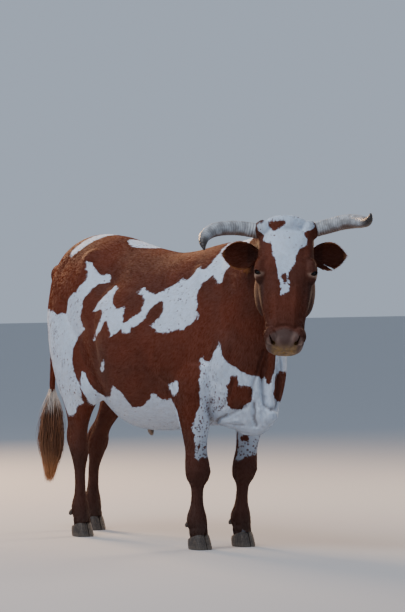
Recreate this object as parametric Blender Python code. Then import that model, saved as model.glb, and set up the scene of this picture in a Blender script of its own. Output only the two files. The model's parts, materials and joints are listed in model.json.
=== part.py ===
"""A pied Nguni ox, life size, standing with its head turned to its right.

+X is forwards, +Y the animal's left and +Z up. The origin is on the ground, in the middle of the box
round the whole animal. Sizes are in metres.
"""

import math
import random

import bmesh
import bpy
import numpy as np
from mathutils import Matrix, Vector

# Where the middle of the whole animal's box lies in the frame that the sizes below are given in.
BOX_MIDDLE = Vector((0.2101, -0.0688, 0.0))

# How fine the flesh is before it is thinned, and how far touching pieces stay apart.
BODY_VOXEL = 0.009
HEAD_VOXEL = 0.005
GAP = 0.0003
RING_POINTS = 40

# The trunk, front to back. Each row is one section: along, top, bottom, half width, how far up the
# widest place lies, and how square the upper and the lower half are.
TRUNK = (
    (-0.742, 1.110, 1.000, 0.052, 0.50, 2.0, 2.0),
    (-0.718, 1.165, 0.915, 0.092, 0.52, 2.0, 2.0),
    (-0.660, 1.215, 0.810, 0.136, 0.55, 2.0, 2.0),
    (-0.570, 1.264, 0.705, 0.184, 0.60, 2.0, 2.0),
    (-0.450, 1.292, 0.610, 0.222, 0.62, 1.9, 2.0),
    (-0.310, 1.284, 0.540, 0.244, 0.60, 1.9, 2.0),
    (-0.170, 1.256, 0.476, 0.268, 0.50, 1.9, 2.0),
    (-0.020, 1.230, 0.464, 0.290, 0.45, 1.9, 2.1),
    (0.120, 1.217, 0.474, 0.286, 0.44, 1.8, 2.1),
    (0.250, 1.228, 0.490, 0.262, 0.42, 1.7, 2.1),
    (0.370, 1.250, 0.504, 0.228, 0.40, 1.6, 2.1),
    (0.480, 1.262, 0.506, 0.198, 0.40, 1.6, 2.0),
    (0.590, 1.220, 0.505, 0.166, 0.40, 1.7, 1.9),
    (0.670, 1.100, 0.520, 0.125, 0.42, 1.8, 1.8),
    (0.722, 0.900, 0.560, 0.065, 0.45, 2.0, 1.8),
)

# The neck, from inside the shoulders to the poll. Each row is the top point, the bottom point and the
# half width of one section, with its widest place and squareness.
NECK = (
    ((0.400, 0.000, 1.245), (0.620, 0.000, 0.640), 0.160, 0.45, 1.8, 1.9),
    ((0.520, -0.004, 1.262), (0.700, -0.004, 0.700), 0.142, 0.48, 1.8, 1.8),
    ((0.630, -0.012, 1.282), (0.752, -0.010, 0.800), 0.122, 0.52, 1.8, 1.8),
    ((0.730, -0.026, 1.300), (0.765, -0.014, 0.900), 0.107, 0.56, 1.9, 1.8),
    ((0.810, -0.044, 1.314), (0.790, -0.010, 1.000), 0.100, 0.58, 2.0, 1.9),
    ((0.868, -0.056, 1.312), (0.826, -0.012, 1.080), 0.090, 0.55, 2.0, 2.0),
)

# The dewlap's free edge and the line inside the neck that it hangs from, top to bottom.
DEWLAP = (
    ((0.862, -0.048, 1.075), (0.800, -0.024, 1.120), 0.020),
    ((0.832, -0.040, 0.985), (0.760, -0.010, 1.060), 0.016),
    ((0.800, -0.030, 0.870), (0.715, -0.006, 0.950), 0.014),
    ((0.778, -0.022, 0.750), (0.680, -0.002, 0.840), 0.015),
    ((0.758, -0.012, 0.650), (0.648, 0.000, 0.740), 0.021),
    ((0.732, -0.004, 0.560), (0.610, 0.000, 0.660), 0.030),
    ((0.672, 0.000, 0.507), (0.560, 0.000, 0.620), 0.040),
    ((0.570, 0.000, 0.496), (0.470, 0.000, 0.620), 0.050),
)

# The head: where the poll is, and how far the face turns to the right, tips down and leans.
POLL = Vector((0.938, -0.084, 1.358))
HEAD_TURN = math.radians(-36.5)
HEAD_TIP = math.radians(66.0)
HEAD_LEAN = math.radians(-1.4)

# Sections of the skull and jaw: along the face from the poll, brow side, throat side, half width,
# widest place and squareness.
FACE = (
    (-0.025, -0.046, -0.125, 0.064, 0.60, 2.0, 2.0),
    (0.005, -0.022, -0.165, 0.094, 0.68, 2.2, 2.0),
    (0.050, -0.006, -0.200, 0.108, 0.72, 2.4, 2.0),
    (0.100, 0.000, -0.216, 0.113, 0.74, 2.6, 2.0),
    (0.150, 0.003, -0.226, 0.113, 0.76, 2.7, 2.0),
    (0.200, 0.003, -0.234, 0.110, 0.78, 2.8, 2.0),
    (0.255, -0.001, -0.230, 0.107, 0.76, 2.6, 2.0),
    (0.305, -0.006, -0.212, 0.103, 0.72, 2.4, 2.0),
    (0.355, -0.010, -0.187, 0.094, 0.68, 2.3, 2.1),
    (0.405, -0.014, -0.168, 0.082, 0.62, 2.3, 2.2),
    (0.450, -0.018, -0.160, 0.079, 0.58, 2.3, 2.3),
    (0.492, -0.028, -0.155, 0.080, 0.55, 2.4, 2.3),
    (0.524, -0.050, -0.148, 0.070, 0.50, 2.3, 2.2),
    (0.543, -0.076, -0.132, 0.046, 0.48, 2.2, 2.0),
)


def eased(rows, count):
    """Rows of numbers in between these, on a smooth curve through them all."""
    table = np.array(rows, float)
    steps = np.linalg.norm(np.diff(table, axis=0), axis=1)
    at = np.concatenate([[0.0], np.cumsum(steps)])
    slope = np.gradient(table, at, axis=0)
    made = []
    for place in np.linspace(0.0, at[-1], count):
        i = min(int(np.searchsorted(at, place, side="right")) - 1, len(at) - 2)
        wide = at[i + 1] - at[i]
        t = (place - at[i]) / wide
        made.append(
            table[i] * (1 + 2 * t) * (1 - t) ** 2
            + slope[i] * wide * t * (1 - t) ** 2
            + table[i + 1] * t * t * (3 - 2 * t)
            + slope[i + 1] * wide * t * t * (t - 1)
        )
    return made


def ring(top, bottom, half_width, widest, upper, lower, side, points=RING_POINTS):
    """A closed section: a rounded box whose upper and lower halves have their own squareness."""
    up = top - bottom
    middle = bottom + up * widest
    found = []
    for i in range(points):
        angle = 2 * math.pi * i / points
        across, along = math.cos(angle), math.sin(angle)
        power = 2 / (upper if along > 0 else lower)
        reach = (1 - widest) if along > 0 else widest
        found.append(
            middle
            + side * (half_width * math.copysign(abs(across) ** power, across))
            + up * (reach * math.copysign(abs(along) ** power, along))
        )
    return found


def loft(name, rings):
    """A closed mesh through these rings."""
    mesh = bmesh.new()
    made = [[mesh.verts.new(p) for p in points] for points in rings]
    for near, far in zip(made, made[1:]):
        for i in range(len(near)):
            j = (i + 1) % len(near)
            mesh.faces.new((near[i], near[j], far[j], far[i]))
    mesh.faces.new(made[0][::-1])
    mesh.faces.new(made[-1])
    bmesh.ops.triangulate(mesh, faces=mesh.faces)
    bmesh.ops.recalc_face_normals(mesh, faces=mesh.faces)
    data = bpy.data.meshes.new(name)
    mesh.to_mesh(data)
    mesh.free()
    piece = bpy.data.objects.new(name, data)
    bpy.context.scene.collection.objects.link(piece)
    return piece


def ball(name, centre, radii, turn=None, detail=4):
    """A closed ellipsoid."""
    mesh = bmesh.new()
    bmesh.ops.create_icosphere(mesh, subdivisions=detail, radius=1.0)
    place = Matrix.Translation(centre) @ (turn or Matrix.Identity(4)) @ Matrix.Diagonal((*radii, 1.0))
    bmesh.ops.transform(mesh, matrix=place, verts=mesh.verts)
    data = bpy.data.meshes.new(name)
    mesh.to_mesh(data)
    mesh.free()
    piece = bpy.data.objects.new(name, data)
    bpy.context.scene.collection.objects.link(piece)
    return piece


def pointing(along, across=Vector((0, 1, 0))):
    """A turn that carries +X onto along."""
    x = Vector(along).normalized()
    z = x.cross(across).normalized()
    y = z.cross(x)
    return Matrix((x, y, z)).transposed().to_4x4()


def head_frame():
    """Carries the head's own axes, along the face, to its left and out of the brow, into place."""
    forwards = Vector((math.cos(HEAD_TURN), math.sin(HEAD_TURN), 0))
    up = Vector((0, 0, 1))
    along = forwards * math.cos(HEAD_TIP) - up * math.sin(HEAD_TIP)
    out = forwards * math.sin(HEAD_TIP) + up * math.cos(HEAD_TIP)
    left = out.cross(along)
    lean = Matrix.Rotation(HEAD_LEAN, 4, forwards)
    frame = Matrix((along, left, out)).transposed().to_4x4()
    return Matrix.Translation(POLL) @ lean @ frame


def trunk():
    side = Vector((0, 1, 0))
    rings = []
    for x, top, bottom, wide, widest, upper, lower in eased(TRUNK, 60):
        rings.append(ring(Vector((x, 0, top)), Vector((x, 0, bottom)), wide, widest, upper, lower, side))
    return loft("trunk_form", rings)


def neck():
    rows = [(*top, *bottom, *rest) for top, bottom, *rest in NECK]
    rings = []
    path = eased(rows, 24)
    for i, row in enumerate(path):
        top, bottom = Vector(row[0:3]), Vector(row[3:6])
        before, after = path[max(i - 1, 0)], path[min(i + 1, len(path) - 1)]
        along = Vector(after[0:3] + after[3:6] - before[0:3] - before[3:6])
        side = (top - bottom).cross(along).normalized()
        rings.append(ring(top, bottom, *row[6:10], side))
    return loft("neck_form", rings)


def dewlap():
    rows = [(*edge, *root, wide) for edge, root, wide in DEWLAP]
    rings = []
    path = eased(rows, 30)
    for i, row in enumerate(path):
        edge, root = Vector(row[0:3]), Vector(row[3:6])
        before, after = path[max(i - 1, 0)], path[min(i + 1, len(path) - 1)]
        along = Vector(after[0:3] - before[0:3])
        side = (root - edge).cross(along).normalized()
        rings.append(ring(root, edge, row[6], 0.45, 3.0, 2.0, side, 16))
    return loft("dewlap_form", rings)


# Legs. Each row is one level section: height, front, back, right edge and left edge, from the foot's
# own middle. The right legs come first, and the left ones are these turned over.
FORELEG = (
    (0.020, 0.045, -0.036, 0.037),
    (0.055, 0.045, -0.037, 0.037),
    (0.080, 0.043, -0.043, 0.039),
    (0.108, 0.040, -0.049, 0.042),
    (0.138, 0.035, -0.050, 0.040),
    (0.172, 0.026, -0.036, 0.030),
    (0.215, 0.024, -0.030, 0.025),
    (0.255, 0.026, -0.032, 0.029),
    (0.285, 0.042, -0.042, 0.048),
    (0.320, 0.052, -0.049, 0.054),
    (0.355, 0.048, -0.054, 0.051),
    (0.400, 0.048, -0.054, 0.043),
    (0.460, 0.060, -0.064, 0.046),
    (0.530, 0.080, -0.084, 0.056),
    (0.600, 0.098, -0.108, 0.066),
    (0.680, 0.118, -0.116, 0.066),
    (0.760, 0.120, -0.090, 0.045),
)
HIND_LEG = (
    (0.020, 0.043, -0.034, 0.036),
    (0.055, 0.043, -0.036, 0.036),
    (0.080, 0.040, -0.041, 0.037),
    (0.108, 0.035, -0.047, 0.039),
    (0.138, 0.030, -0.048, 0.037),
    (0.178, 0.022, -0.035, 0.027),
    (0.230, 0.021, -0.031, 0.023),
    (0.290, 0.023, -0.034, 0.026),
    (0.335, 0.033, -0.044, 0.034),
    (0.375, 0.038, -0.062, 0.040),
    (0.415, 0.034, -0.086, 0.039),
    (0.445, 0.035, -0.088, 0.034),
    (0.480, 0.046, -0.076, 0.036),
    (0.520, 0.066, -0.080, 0.042),
    (0.573, 0.108, -0.098, 0.050),
    (0.640, 0.150, -0.130, 0.064),
    (0.740, 0.178, -0.155, 0.078),
    (0.840, 0.180, -0.165, 0.084),
    (0.960, 0.170, -0.172, 0.080),
    (1.080, 0.130, -0.150, 0.050),
    (1.140, 0.080, -0.100, 0.020),
)


def leg(name, rows, foot, lean, side):
    """A leg as level sections over its foot. lean gives how far each height is carried along and across."""
    rings = []
    for z, front, back, half in eased(rows, 64):
        along, across = lean(z)
        x, y = foot[0] + along, foot[1] + across * side
        front_point, back_point = Vector((x + front, y, z)), Vector((x + back, y, z))
        widest = -back / (front - back)
        rings.append(ring(front_point, back_point, half, widest, 2.1, 2.1, Vector((0, 1, 0)), 28))
    return loft(name, rings)


def between(z, heights, values):
    """A smooth value at height z."""
    return float(np.interp(z, heights, values))


FORE_RIGHT = (0.402, -0.130)
FORE_LEFT = (0.385, 0.106)
HIND_RIGHT = (-0.428, -0.140)
HIND_LEFT = (-0.684, 0.102)


def fore_right_lean(z):
    along = between(z, (0.02, 0.12, 0.30, 0.60, 0.78), (0.010, -0.002, 0.002, -0.004, 0.030))
    return along, between(z, (0.06, 0.35, 0.60, 0.78), (0.0, 0.002, 0.024, 0.040))


def fore_left_lean(z):
    along = between(z, (0.02, 0.12, 0.30, 0.60, 0.78), (0.010, -0.002, 0.012, 0.006, 0.040))
    return along, between(z, (0.06, 0.30, 0.47, 0.60, 0.78), (0.0, 0.004, 0.034, 0.050, 0.060))


def hind_right_lean(z):
    heights = (0.02, 0.12, 0.27, 0.42, 0.60, 0.75, 0.90, 1.10)
    along = between(z, heights, (0.014, 0.004, 0.000, -0.002, 0.010, 0.000, -0.022, -0.050))
    return along, between(z, (0.06, 0.42, 0.60, 0.80, 1.10), (0.0, 0.002, 0.014, 0.018, 0.000))


def hind_left_lean(z):
    heights = (0.02, 0.12, 0.27, 0.42, 0.60, 0.75, 0.90, 1.10)
    along = between(z, heights, (0.012, -0.002, 0.006, 0.050, 0.150, 0.190, 0.196, 0.186))
    return along, between(z, (0.06, 0.42, 0.60, 0.80, 1.10), (0.0, 0.006, 0.036, 0.048, 0.030))


def limbs():
    return [
        leg("fore_right_form", FORELEG, FORE_RIGHT, fore_right_lean, -1),
        leg("fore_left_form", FORELEG, FORE_LEFT, fore_left_lean, 1),
        leg("hind_right_form", HIND_LEG, HIND_RIGHT, hind_right_lean, -1),
        leg("hind_left_form", HIND_LEG, HIND_LEFT, hind_left_lean, 1),
    ]


def muscles():
    """Bones and muscles that stand out of the trunk, on both sides."""
    made = []
    for side, name in ((-1, "right"), (1, "left")):
        def at(x, y, z):
            return Vector((x, y * side, z))

        made += [
            ball("blade_" + name, at(0.430, 0.090, 0.955), (0.225, 0.070, 0.120), pointing((-0.30, 0, 1))),
            ball("triceps_" + name, at(0.385, 0.148, 0.760), (0.165, 0.066, 0.140), pointing((0.25, 0, 1))),
            ball("shoulder_point_" + name, at(0.552, 0.112, 0.800), (0.10, 0.072, 0.150)),
            ball("haunch_" + name, at(-0.490, 0.112, 0.980), (0.170, 0.098, 0.25)),
            ball("thigh_" + name, at(-0.510, 0.098, 0.830), (0.145, 0.078, 0.19), pointing((0.15, 0, 1))),
            ball("hook_" + name, at(-0.315, 0.140, 1.178), (0.070, 0.050, 0.050)),
            ball("pin_" + name, at(-0.682, 0.070, 1.112), (0.045, 0.042, 0.050)),
            ball("flank_" + name, at(-0.275, 0.182, 0.655), (0.095, 0.045, 0.090)),
        ]
    return made


def head_masses():
    frame = head_frame()
    side = Vector((0, 1, 0))
    rings = []
    for u, brow, throat, wide, widest, upper, lower in eased(FACE, 52):
        rings.append(ring(Vector((u, 0, brow)), Vector((u, 0, throat)), wide, widest, upper, lower, side))
    made = [loft("face_form", rings)]
    made.append(ball("poll_form", Vector((0.022, 0, -0.047)), (0.052, 0.098, 0.051)))
    made.append(ball("pad_form", Vector((0.492, 0, -0.074)), (0.050, 0.074, 0.046)))
    made.append(ball("chin_form", Vector((0.472, 0, -0.148)), (0.060, 0.055, 0.028)))
    for way in (-1, 1):
        made.append(ball("orbit_form", Vector((0.212, 0.094 * way, -0.044)), (0.064, 0.034, 0.040)))
        made.append(ball("cheek_form", Vector((0.252, 0.074 * way, -0.146)), (0.118, 0.049, 0.078)))
        made.append(ball("horn_root_form", Vector((0.036, 0.090 * way, -0.044)), (0.042, 0.040, 0.040)))
        made.append(ball("wing_form", Vector((0.488, 0.055 * way, -0.050)), (0.038, 0.031, 0.032)))
    for piece in made:
        piece.data.transform(frame)
    return made


def fused(name, pieces, voxel, passes):
    """One smooth closed surface round all of these pieces."""
    target = pieces[0]
    with bpy.context.temp_override(active_object=target, selected_editable_objects=pieces):
        bpy.ops.object.join()
    target.name = name
    remesh = target.modifiers.new("one_skin", "REMESH")
    remesh.mode = "VOXEL"
    remesh.voxel_size = voxel
    soften = target.modifiers.new("soften", "SMOOTH")
    soften.factor = 0.5
    soften.iterations = passes
    return applied(target)


def applied(piece):
    """The piece with its modifiers made part of its mesh."""
    graph = bpy.context.evaluated_depsgraph_get()
    made = bpy.data.meshes.new_from_object(piece.evaluated_get(graph))
    old = piece.data
    piece.modifiers.clear()
    piece.data = made
    bpy.data.meshes.remove(old)
    return piece


def pressed(piece, strokes):
    """The piece with soft bulges and hollows: each stroke is a place, a reach and a push outwards."""
    mesh = piece.data
    count = len(mesh.vertices)
    flat = np.empty(count * 3)
    mesh.vertices.foreach_get("co", flat)
    points = flat.reshape(-1, 3)
    flat = np.empty(count * 3)
    mesh.vertices.foreach_get("normal", flat)
    out = flat.reshape(-1, 3)
    moved = points.copy()
    for place, reach, push in strokes:
        near = np.exp(-(((points - place) / reach) ** 2).sum(axis=1))
        moved += out * (near * push)[:, None]
    mesh.vertices.foreach_set("co", moved.ravel())
    mesh.update()
    return piece


# Soft hollows and bulges of the body's right side, which the left side has as well: where, how far it
# reaches along each axis, and how far outwards.
BODY_STROKES = (
    ((-0.150, -0.225, 1.110), (0.110, 0.080, 0.060), -0.020),
    ((-0.500, -0.190, 1.150), (0.090, 0.070, 0.050), -0.010),
    ((-0.310, -0.215, 1.200), (0.045, 0.040, 0.030), 0.008),
    ((0.215, -0.250, 0.960), (0.070, 0.080, 0.150), -0.012),
    ((0.225, -0.250, 0.720), (0.050, 0.080, 0.090), -0.014),
    ((0.600, -0.150, 1.030), (0.050, 0.080, 0.120), -0.010),
    ((0.350, -0.190, 0.660), (0.040, 0.060, 0.040), 0.010),
    ((0.470, -0.180, 0.900), (0.030, 0.060, 0.120), -0.005),
    ((-0.640, -0.160, 0.880), (0.030, 0.060, 0.130), -0.006),
    ((-0.330, -0.200, 0.640), (0.060, 0.060, 0.060), 0.010),
    ((-0.400, -0.200, 0.800), (0.060, 0.060, 0.100), 0.006),
    ((-0.200, -0.200, 0.600), (0.060, 0.060, 0.060), -0.008),
)


def body_strokes():
    found = []
    for place, reach, push in BODY_STROKES:
        for side in (1, -1):
            found.append((np.array((place[0], place[1] * side, place[2])), np.array(reach), push))
    return found


def thinned(piece, triangles):
    """The piece with about this many triangles."""
    now = sum(len(face.vertices) - 2 for face in piece.data.polygons)
    thin = piece.modifiers.new("thin", "DECIMATE")
    thin.ratio = min(1.0, triangles / now)
    return applied(piece)


def cut(piece, cutters, how="DIFFERENCE"):
    """The piece less these closed cutters, which are used up, or joined with them."""
    for cutter in cutters:
        change = piece.modifiers.new("cut", "BOOLEAN")
        change.operation = how
        change.object = cutter
        change.solver = "EXACT"
        applied(piece)
        bpy.data.objects.remove(cutter)
    return piece


def grown(piece, by=GAP):
    """A copy of the piece that is larger all round by this much."""
    data = piece.data.copy()
    for point, normal in zip(data.vertices, [v.normal.copy() for v in data.vertices]):
        point.co += normal * by * 1.15
    made = bpy.data.objects.new(piece.name + "_room", data)
    bpy.context.scene.collection.objects.link(made)
    return made


def from_points(name, points, faces):
    data = bpy.data.meshes.new(name)
    data.from_pydata([tuple(p) for p in points], [], faces)
    data.update()
    piece = bpy.data.objects.new(name, data)
    bpy.context.scene.collection.objects.link(piece)
    return piece


def plate(name, middle, normal, size, thick=GAP):
    """A thin square plate, which parts what it passes through."""
    normal = Vector(normal).normalized()
    one = normal.orthogonal().normalized()
    two = normal.cross(one)
    points = []
    for level in (-thick / 2, thick / 2):
        for a, b in ((-1, -1), (1, -1), (1, 1), (-1, 1)):
            points.append(Vector(middle) + normal * level + one * a * size / 2 + two * b * size / 2)
    faces = [(0, 3, 2, 1), (4, 5, 6, 7), (0, 1, 5, 4), (1, 2, 6, 5), (2, 3, 7, 6), (3, 0, 4, 7)]
    return from_points(name, points, faces)


def plane_of(a, b, c):
    normal = (b - a).cross(c - a).normalized()
    return normal, normal.dot(a)


def meeting(planes):
    rows = np.array([tuple(n) for n, d in planes])
    return Vector(np.linalg.solve(rows, np.array([d for n, d in planes])))


def cap(name, low, high):
    """A thin cup, open below, over a leg's top: low and high are its four lower and four upper corners."""
    low, high = [Vector(p) for p in low], [Vector(p) for p in high]
    centre = sum(low + high, Vector()) / 8

    def inwards(found):
        normal, far = found
        if normal.dot(centre) > far:
            normal, far = -normal, -far
        return normal, far

    sides = [inwards(plane_of(low[i], low[(i + 1) % 4], high[i])) for i in range(4)]
    top = inwards(plane_of(high[0], high[1], high[2]))
    floor = inwards(plane_of(low[0], low[1], low[2]))
    points = []
    for less in (0.0, GAP):
        near = [(n, d - less) for n, d in sides]
        for level in (floor, (top[0], top[1] - less)):
            points += [meeting((level, near[i - 1], near[i])) for i in range(4)]
    faces = [(4, 5, 6, 7), (15, 14, 13, 12)]
    for i in range(4):
        j = (i + 1) % 4
        faces += [(i, j, j + 4, i + 4), (j + 8, i + 8, i + 12, j + 12), (j, i, i + 8, j + 8)]
    made = from_points(name, points, faces)
    mesh = bmesh.new()
    mesh.from_mesh(made.data)
    bmesh.ops.recalc_face_normals(mesh, faces=mesh.faces)
    mesh.to_mesh(made.data)
    mesh.free()
    return made


def parts_of(piece):
    """The separate closed surfaces of a mesh, as objects, largest first."""
    mesh = bmesh.new()
    mesh.from_mesh(piece.data)
    mesh.faces.ensure_lookup_table()
    left = set(mesh.faces)
    groups = []
    while left:
        todo = [left.pop()]
        group = set(todo)
        while todo:
            for edge in todo.pop().edges:
                for face in edge.link_faces:
                    if face in left:
                        left.discard(face)
                        group.add(face)
                        todo.append(face)
        groups.append(group)
    made = []
    for group in sorted(groups, key=len, reverse=True):
        order = {}
        faces = []
        for face in sorted(group, key=lambda f: f.index):
            faces.append([order.setdefault(v, len(order)) for v in face.verts])
        made.append(from_points(piece.name + "_part", [v.co.copy() for v in order], faces))
    mesh.free()
    bpy.data.objects.remove(piece)
    return made


def middle_of(piece):
    flat = np.empty(len(piece.data.vertices) * 3)
    piece.data.vertices.foreach_get("co", flat)
    return flat.reshape(-1, 3).mean(axis=0)


def tube(name, path, radii, points=12):
    """A round rod along a path, its radius given at each point of it."""
    rings = []
    across = None
    for i, here in enumerate(path):
        along = (path[min(i + 1, len(path) - 1)] - path[max(i - 1, 0)]).normalized()
        if across is None:
            across = along.orthogonal().normalized()
        across = (across - along * across.dot(along)).normalized()
        other = along.cross(across)
        rings.append([
            here + (across * math.cos(a) + other * math.sin(a)) * radii[i]
            for a in (2 * math.pi * k / points for k in range(points))
        ])
    return loft(name, rings)


def smooth_path(rows, count):
    """Points and radii on a smooth curve through rows of x, y, z and radius."""
    found = eased(rows, count)
    return [Vector(row[:3]) for row in found], [float(row[3]) for row in found]


def face_on():
    """Carries forwards, left and up, seen face on, to the head in place."""
    forwards = Vector((math.cos(HEAD_TURN), math.sin(HEAD_TURN), 0))
    up = Vector((0, 0, 1))
    left = up.cross(forwards)
    lean = Matrix.Rotation(HEAD_LEAN, 4, forwards)
    return Matrix.Translation(POLL) @ lean @ Matrix((forwards, left, up)).transposed().to_4x4()


# The horns, seen face on: forwards, left and up from the poll, and how thick.
HORN_RIGHT = (
    (-0.035, -0.075, -0.062, 0.030),
    (-0.036, -0.123, -0.054, 0.030),
    (-0.030, -0.183, -0.046, 0.0295),
    (-0.005, -0.246, -0.047, 0.029),
    (0.035, -0.299, -0.060, 0.027),
    (0.078, -0.328, -0.086, 0.022),
    (0.106, -0.331, -0.112, 0.014),
    (0.120, -0.326, -0.134, 0.004),
)
HORN_LEFT = (
    (-0.035, 0.075, -0.056, 0.030),
    (-0.036, 0.121, -0.042, 0.030),
    (-0.032, 0.167, -0.029, 0.030),
    (-0.018, 0.214, -0.015, 0.030),
    (0.012, 0.264, -0.007, 0.029),
    (0.060, 0.300, -0.008, 0.024),
    (0.098, 0.318, -0.006, 0.018),
    (0.122, 0.327, 0.008, 0.011),
    (0.128, 0.329, 0.026, 0.004),
)


def horn(name, rows):
    path, radii = smooth_path(rows, 16)
    radii = [r * (1 + 0.02 * math.cos(i * math.pi)) if 2 < i < 10 else r for i, r in enumerate(radii)]
    made = tube(name, path, radii, 11)
    made.data.transform(face_on())
    return made


# An ear lies along its own X, opens to its own Z and is as wide as its own Y: along, half width above
# and below, depth of the cup and how thick its wall is.
EAR = (
    (0.000, 0.021, -0.021, 0.034, 0.0060),
    (0.022, 0.030, -0.030, 0.040, 0.0060),
    (0.045, 0.044, -0.045, 0.040, 0.0055),
    (0.070, 0.053, -0.056, 0.034, 0.0050),
    (0.095, 0.055, -0.059, 0.027, 0.0045),
    (0.120, 0.047, -0.051, 0.019, 0.0042),
    (0.143, 0.031, -0.034, 0.012, 0.0040),
    (0.160, 0.012, -0.014, 0.007, 0.0035),
    (0.166, 0.004, -0.005, 0.005, 0.0030),
)
EAR_PLACE = {-1: Vector((-0.052, -0.102, -0.155)), 1: Vector((-0.052, 0.094, -0.150))}
EAR_SWEEP = math.radians(24)


def torn_edge():
    """A wedge through the left ear's lower edge, where it is torn."""
    outline = ((0.077, -0.026), (0.098, -0.085), (0.119, -0.078))
    points = [Vector((x, y, z)) for z in (-0.08, 0.04) for x, y in outline]
    faces = [(0, 2, 1), (3, 4, 5), (0, 1, 4, 3), (1, 2, 5, 4), (2, 0, 3, 5)]
    return from_points("torn_edge", points, faces)


def ear(name, side, across=7):
    rings = []
    for x, above, below, deep, wall in eased(EAR, 11):
        outer, inner = [], []
        for k in range(across):
            t = -1 + 2 * k / (across - 1)
            edge = above if t > 0 else -below
            y = edge * math.copysign(abs(math.sin(t * math.pi / 2)), t)
            z = -deep * math.cos(t * math.pi / 2) ** 0.8
            shrink = 1 - wall / max(edge, 0.008)
            outer.append(Vector((x, y, z)))
            inner.append(Vector((x, y * max(shrink, 0.35), z + wall * (0.4 + 0.9 * math.cos(t * math.pi / 2)))))
        rings.append(outer + inner[::-1])
    made = loft(name, rings)
    length = Vector((-math.sin(EAR_SWEEP), math.cos(EAR_SWEEP) * side, 0.02))
    opening = Vector((math.cos(EAR_SWEEP), math.sin(EAR_SWEEP) * side, -0.10))
    x = length.normalized()
    y = opening.cross(x).normalized()
    z = x.cross(y)
    if y.z < 0:
        y = -y
    frame = Matrix((x, y, z if z.dot(opening) > 0 else -z)).transposed().to_4x4()
    if side > 0:
        made = cut(made, [torn_edge()])
    made.data.transform(face_on() @ Matrix.Translation(EAR_PLACE[side]) @ frame)
    mesh = bmesh.new()
    mesh.from_mesh(made.data)
    bmesh.ops.recalc_face_normals(mesh, faces=mesh.faces)
    mesh.to_mesh(made.data)
    mesh.free()
    return made


EYE_RADIUS = 0.0195
# Along the face, to its left and out of the brow: the eye's middle and the way it looks.
EYE_PLACE = (0.227, 0.1000, -0.040)
EYE_FACING = (0.10, 0.64, 0.76)
EYE_LIDS = 0.0042


def eye_point(side):
    return head_frame() @ Vector((EYE_PLACE[0], EYE_PLACE[1] * side, EYE_PLACE[2]))


def eye_ball(name, side, more=0.0, detail=3):
    turn = head_frame().to_quaternion().to_matrix().to_4x4()
    return ball(name, eye_point(side), (EYE_RADIUS + more,) * 3, turn, detail)


def lid_slit(side):
    """The almond-shaped opening between the lids, as a closed prism."""
    out = Vector((EYE_FACING[0], EYE_FACING[1] * side, EYE_FACING[2])).normalized()
    along = Vector((1.0, 0.0, 0.30))
    along = (along - out * along.dot(out)).normalized()
    up = out.cross(along)
    half, rise = 0.0185, 0.0108
    loop = []
    for k in range(14):
        a = 2 * math.pi * k / 14
        loop.append(along * half * math.cos(a) + up * rise * math.sin(a) * abs(math.sin(a)) ** 0.25)
    centre = Vector((EYE_PLACE[0], EYE_PLACE[1] * side, EYE_PLACE[2]))
    rings = [[centre + p + out * far for p in loop] for far in (0.004, 0.034)]
    made = loft("lid_slit", rings)
    made.data.transform(head_frame())
    return made


def nostril(side):
    """A comma-shaped pit that runs from above and outside to below and inside."""
    frame = head_frame()
    made = ball("nostril", (0, 0, 0), (0.0165, 0.0075, 0.018), None, 3)
    place = Matrix.Translation((0.523, 0.050 * side, -0.036))
    turn = Matrix.Rotation(math.radians(-12 * side), 4, "X") @ Matrix.Rotation(math.radians(-28 * side), 4, "Z")
    made.data.transform(frame @ place @ turn)
    return made


def mouth_line():
    """A thin bent blade that presses the line of the mouth into the muzzle's front and sides."""
    inner = ((0.405, 0.075), (0.435, 0.070), (0.470, 0.067), (0.504, 0.057), (0.526, 0.036), (0.532, 0.0))
    outline = [(u, v) for u, v in inner] + [(u, -v) for u, v in inner[-2::-1]]
    far = [
        (u + 0.06 if abs(v) < 0.06 else u, v + math.copysign(0.05, v) if v else 0.0)
        for u, v in outline
    ]
    points, faces = [], []
    count = len(outline)
    for (u, v), (fu, fv) in zip(outline, far):
        level = -0.116 - 0.20 * max(0.0, 0.49 - u) ** 1.3
        points += [Vector((u, v, level + 0.0004)), Vector((fu, fv, level + 0.0022)),
                   Vector((fu, fv, level - 0.0022)), Vector((u, v, level - 0.0004))]
    for i in range(count - 1):
        a, b = i * 4, i * 4 + 4
        for k in range(4):
            j = (k + 1) % 4
            faces.append((a + k, a + j, b + j, b + k))
    faces += [(3, 2, 1, 0), tuple(range(4 * count - 4, 4 * count))]
    made = from_points("mouth_line", points, faces)
    made.data.transform(head_frame())
    mesh = bmesh.new()
    mesh.from_mesh(made.data)
    bmesh.ops.recalc_face_normals(mesh, faces=mesh.faces)
    mesh.to_mesh(made.data)
    mesh.free()
    return made


# Each foot: its place, how long and wide its pair of claws is on the ground, and where the hair ends.
FEET = {
    "fore_right": (FORE_RIGHT, 0.098, 0.041, 0.008),
    "fore_left": (FORE_LEFT, 0.098, 0.041, 0.008),
    "hind_right": (HIND_RIGHT, 0.095, 0.039, 0.008),
    "hind_left": (HIND_LEFT, 0.095, 0.039, 0.008),
}
CORONET = 0.052
CORONET_SLOPE = 0.32


def coronet(foot):
    """The plane where the hair of a foot ends and its claws begin."""
    (x, y), length, wide, lean = FEET[foot]
    return Vector((x + lean, y, CORONET)), Vector((-CORONET_SLOPE, 0, 1)).normalized()


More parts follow.
